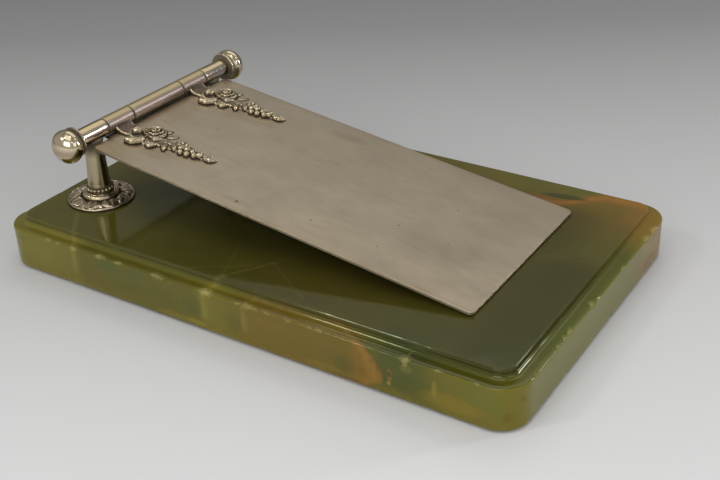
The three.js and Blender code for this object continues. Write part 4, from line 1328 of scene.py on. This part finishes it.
    # old polish left in the strap's sunk panel, darkened further as a painted dark reflection
    panel = np.clip(1.1 - np.abs(Wd - 0.4) / 3.4, 0, 0.25) * 4 * np.clip((1.4 - U) / 1.2, 0, 1)
    cav = np.maximum(cav, 0.36 * np.clip(panel, 0, 1) * (H > 0))
    return us, ws, H, cav, NO


def flower_mount(side, s, data):
    us, ws, H, cav, NO = data
    nu, nw = H.shape
    keep = np.zeros((nu - 1, nw - 1), bool)
    k = H > -0.2
    keep = k[:-1, :-1] | k[1:, :-1] | k[:-1, 1:] | k[1:, 1:]
    ids = -np.ones((nu, nw), int)
    used = np.zeros((nu, nw), bool)
    used[:-1, :-1] |= keep; used[1:, :-1] |= keep; used[:-1, 1:] |= keep; used[1:, 1:] |= keep
    ids[used] = np.arange(used.sum())
    iu, iw = np.nonzero(used)
    u, w, h = us[iu], ws[iw], H[iu, iw]
    # under side: just inside the sheet, and round the barrel's front at the hinge
    under = np.full(len(u), -0.3)
    h = np.maximum(h, under + 0.02)
    n = len(u)
    c, sn = math.cos(SLOPE), math.sin(SLOPE)
    top = np.stack([PX0 + c * u + sn * h, w + s * MOVE_Y, PZ0 - sn * u + c * h], 1)
    bot = np.stack([PX0 + c * u + sn * under, w + s * MOVE_Y, PZ0 - sn * u + c * under], 1)
    A, B = ids[:-1, :-1][keep], ids[1:, :-1][keep]
    C, D = ids[1:, 1:][keep], ids[:-1, 1:][keep]
    faces = [tuple(f) for f in np.stack([A, B, C, D], 1).tolist()] + [tuple(f) for f in (np.stack([D, C, B, A], 1) + n).tolist()]
    # walls round the outline
    edges = {}
    for f in np.stack([A, B, C, D], 1).tolist():
        for p, q in zip(f, f[1:] + f[:1]):
            if (q, p) in edges:
                del edges[(q, p)]
            else:
                edges[(p, q)] = 1
    faces += [(q, p, p + n, q + n) for p, q in edges]
    me = bpy.data.meshes.new(f"{side}_rose_casting")
    me.from_pydata((np.concatenate([top, bot]) * MM).tolist(), [], faces)
    # the underside and the foot of the walls are fully dark: grime, and painted shade where the relief meets the plate
    cv = np.concatenate([cav[iu, iw], np.ones(n)])
    me.attributes.new("cavity_and_shade", "FLOAT", "POINT").data.foreach_set("value", cv.astype(np.float32))
    ob = bpy.data.objects.new(f"{side}_rose_casting", me)
    bpy.context.scene.collection.objects.link(ob)
    me.polygons.foreach_set("use_smooth", [True] * len(me.polygons))
    dress(ob, M_CAST)
    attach(ob, "plate"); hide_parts(f"{side}_flower_mount")


relief = casting()
flower_mount("near", -1, relief)
flower_mount("far", 1, relief)


# ================================================================== carried over pieces
for name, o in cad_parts.items():
    if name in ("hinge_rod", "near_post_screw", "far_post_screw", "near_washer", "far_washer"):
        dress(o, M_STEEL)
    elif name in ("near_flower_mount", "far_flower_mount"):
        dress(o, M_CAST)


# ================================================================== floor and light
def studio():
    bm = bmesh.new()
    bmesh.ops.create_grid(bm, x_segments=2, y_segments=2, size=4.0)
    me = bpy.data.meshes.new("floor")
    bm.to_mesh(me); bm.free()
    floor = bpy.data.objects.new("floor", me)
    bpy.context.scene.collection.objects.link(floor)
    m, b = new_material("paper_floor")
    P, x, y, z = coords(1.0)
    n = noise(P, 8, 2)
    # painted falloff of light: the floor's colour runs from near white on the camera's side to mid grey behind
    along = (y * 0.84 - x * 0.54)
    link(ramp(along * 1.0 + 0.5 + 0.01 * n, FLOOR_RAMP), b.inputs["Base Color"])
    b.inputs["Roughness"].default_value = 0.9
    b.inputs["Specular IOR Level"].default_value = 0.1
    dress(floor, m)

    def area(name, loc, look, size, radiance, color=(1, 1, 1), shape="RECTANGLE", spread=180):
        """an area light whose face has the given brightness"""
        d = bpy.data.lights.new(name, "AREA")
        a = size[0] * size[1] * (math.pi / 4 if shape == "DISK" else 1)
        d.shape, d.size, d.size_y, d.energy, d.color = shape, size[0], size[1], radiance * math.pi * a, color
        d.spread = math.radians(spread)
        o = bpy.data.objects.new(name, d)
        bpy.context.scene.collection.objects.link(o)
        o.location = loc
        o.rotation_euler = (Vector(look) - Vector(loc)).to_track_quat("-Z", "Y").to_euler()
        return o

    def toward(az, el, dist):
        """a place seen from the object: az from the near side towards the free end"""
        a, e = math.radians(az), math.radians(el)
        return (math.sin(a) * math.cos(e) * dist, -math.cos(a) * math.cos(e) * dist, math.sin(e) * dist)
    for name, az, el, dist, size, radiance, colour in LIGHTS:
        area(name, toward(az, el, dist), (0, 0, 0.02), size, radiance, colour)
    # six ceiling panels, two rows of three
    for k, (az, el, radiance) in enumerate(PANELS):
        area(f"panel_{k}", toward(az, el, 1.25), (0, 0, 0.02), (PANEL_SIZE, PANEL_SIZE), radiance, shape="DISK")
    w = bpy.data.worlds.new("studio")
    bpy.context.scene.world = w
    w.use_nodes = True
    t = w.node_tree
    V.tree = t
    bg = next(n for n in t.nodes if n.type == "BACKGROUND")
    tc = t.nodes.new("ShaderNodeTexCoord")
    sp = t.nodes.new("ShaderNodeSeparateXYZ")
    t.links.new(tc.outputs["Generated"], sp.inputs[0])
    X, Y, Z = (V(o) for o in sp.outputs)
    strength = world_strength(X, Y, Z)
    link(mix(Z.step(0.05, 0.5), (1.0, 0.97, 0.92), (1.0, 1.0, 1.0)), bg.inputs["Color"])
    link(strength, bg.inputs["Strength"])
    bpy.context.scene.view_settings.view_transform = "Standard"


FLOOR_RAMP = [(0.05, srgb(250, 250, 250)), (0.36, srgb(232, 232, 232)), (0.75, srgb(148, 148, 148)), (1.0, srgb(114, 114, 114))]
# name, az, el, distance, size, face brightness, colour
LIGHTS = [("behind_box", -165, 55, 1.3, (1.1, 0.75), 0.80, (1.0, 0.985, 0.96)),
          ("left_key", -34.4, 42, 1.32, (0.14, 0.2), 20.0, (1.0, 0.99, 0.97)),
          ("front_fill", 12, 26, 1.4, (1.0, 0.6), 2.4, (1, 1, 1)),
          ("right_fill", 80, 24, 1.3, (0.6, 0.5), 1.0, (1, 1, 1)),
          ("right_card", 131.5, 18, 0.85, (0.06, 0.24), 22.0, (1, 0.98, 1)),
          ("top_box", 15, 72, 1.4, (1.0, 0.9), 1.15, (1, 1, 1))]
PANELS = [(-22.5, 59, 7.2), (97, 81, 7.2), (133, 48, 7.2), (25, 39, 4.2), (57, 41, 4.2), (100, 32, 4.2)]
PANEL_SIZE = 0.135


def world_strength(X, Y, Z):
    behind = (X * -0.545 + Y * 0.839)               # +1 behind the object, -1 on the near side
    dark = behind.step(0.35, 0.75) * Z.step(0.60, 0.42)
    low_right = X.step(0.15, 0.5) * Y.step(0.0, 0.35) * Z.step(0.5, 0.25)
    return (0.42 - 0.24 * dark - 0.12 * Z.step(0.5, 0.95)) * (1 - 0.6 * low_right)


studio()
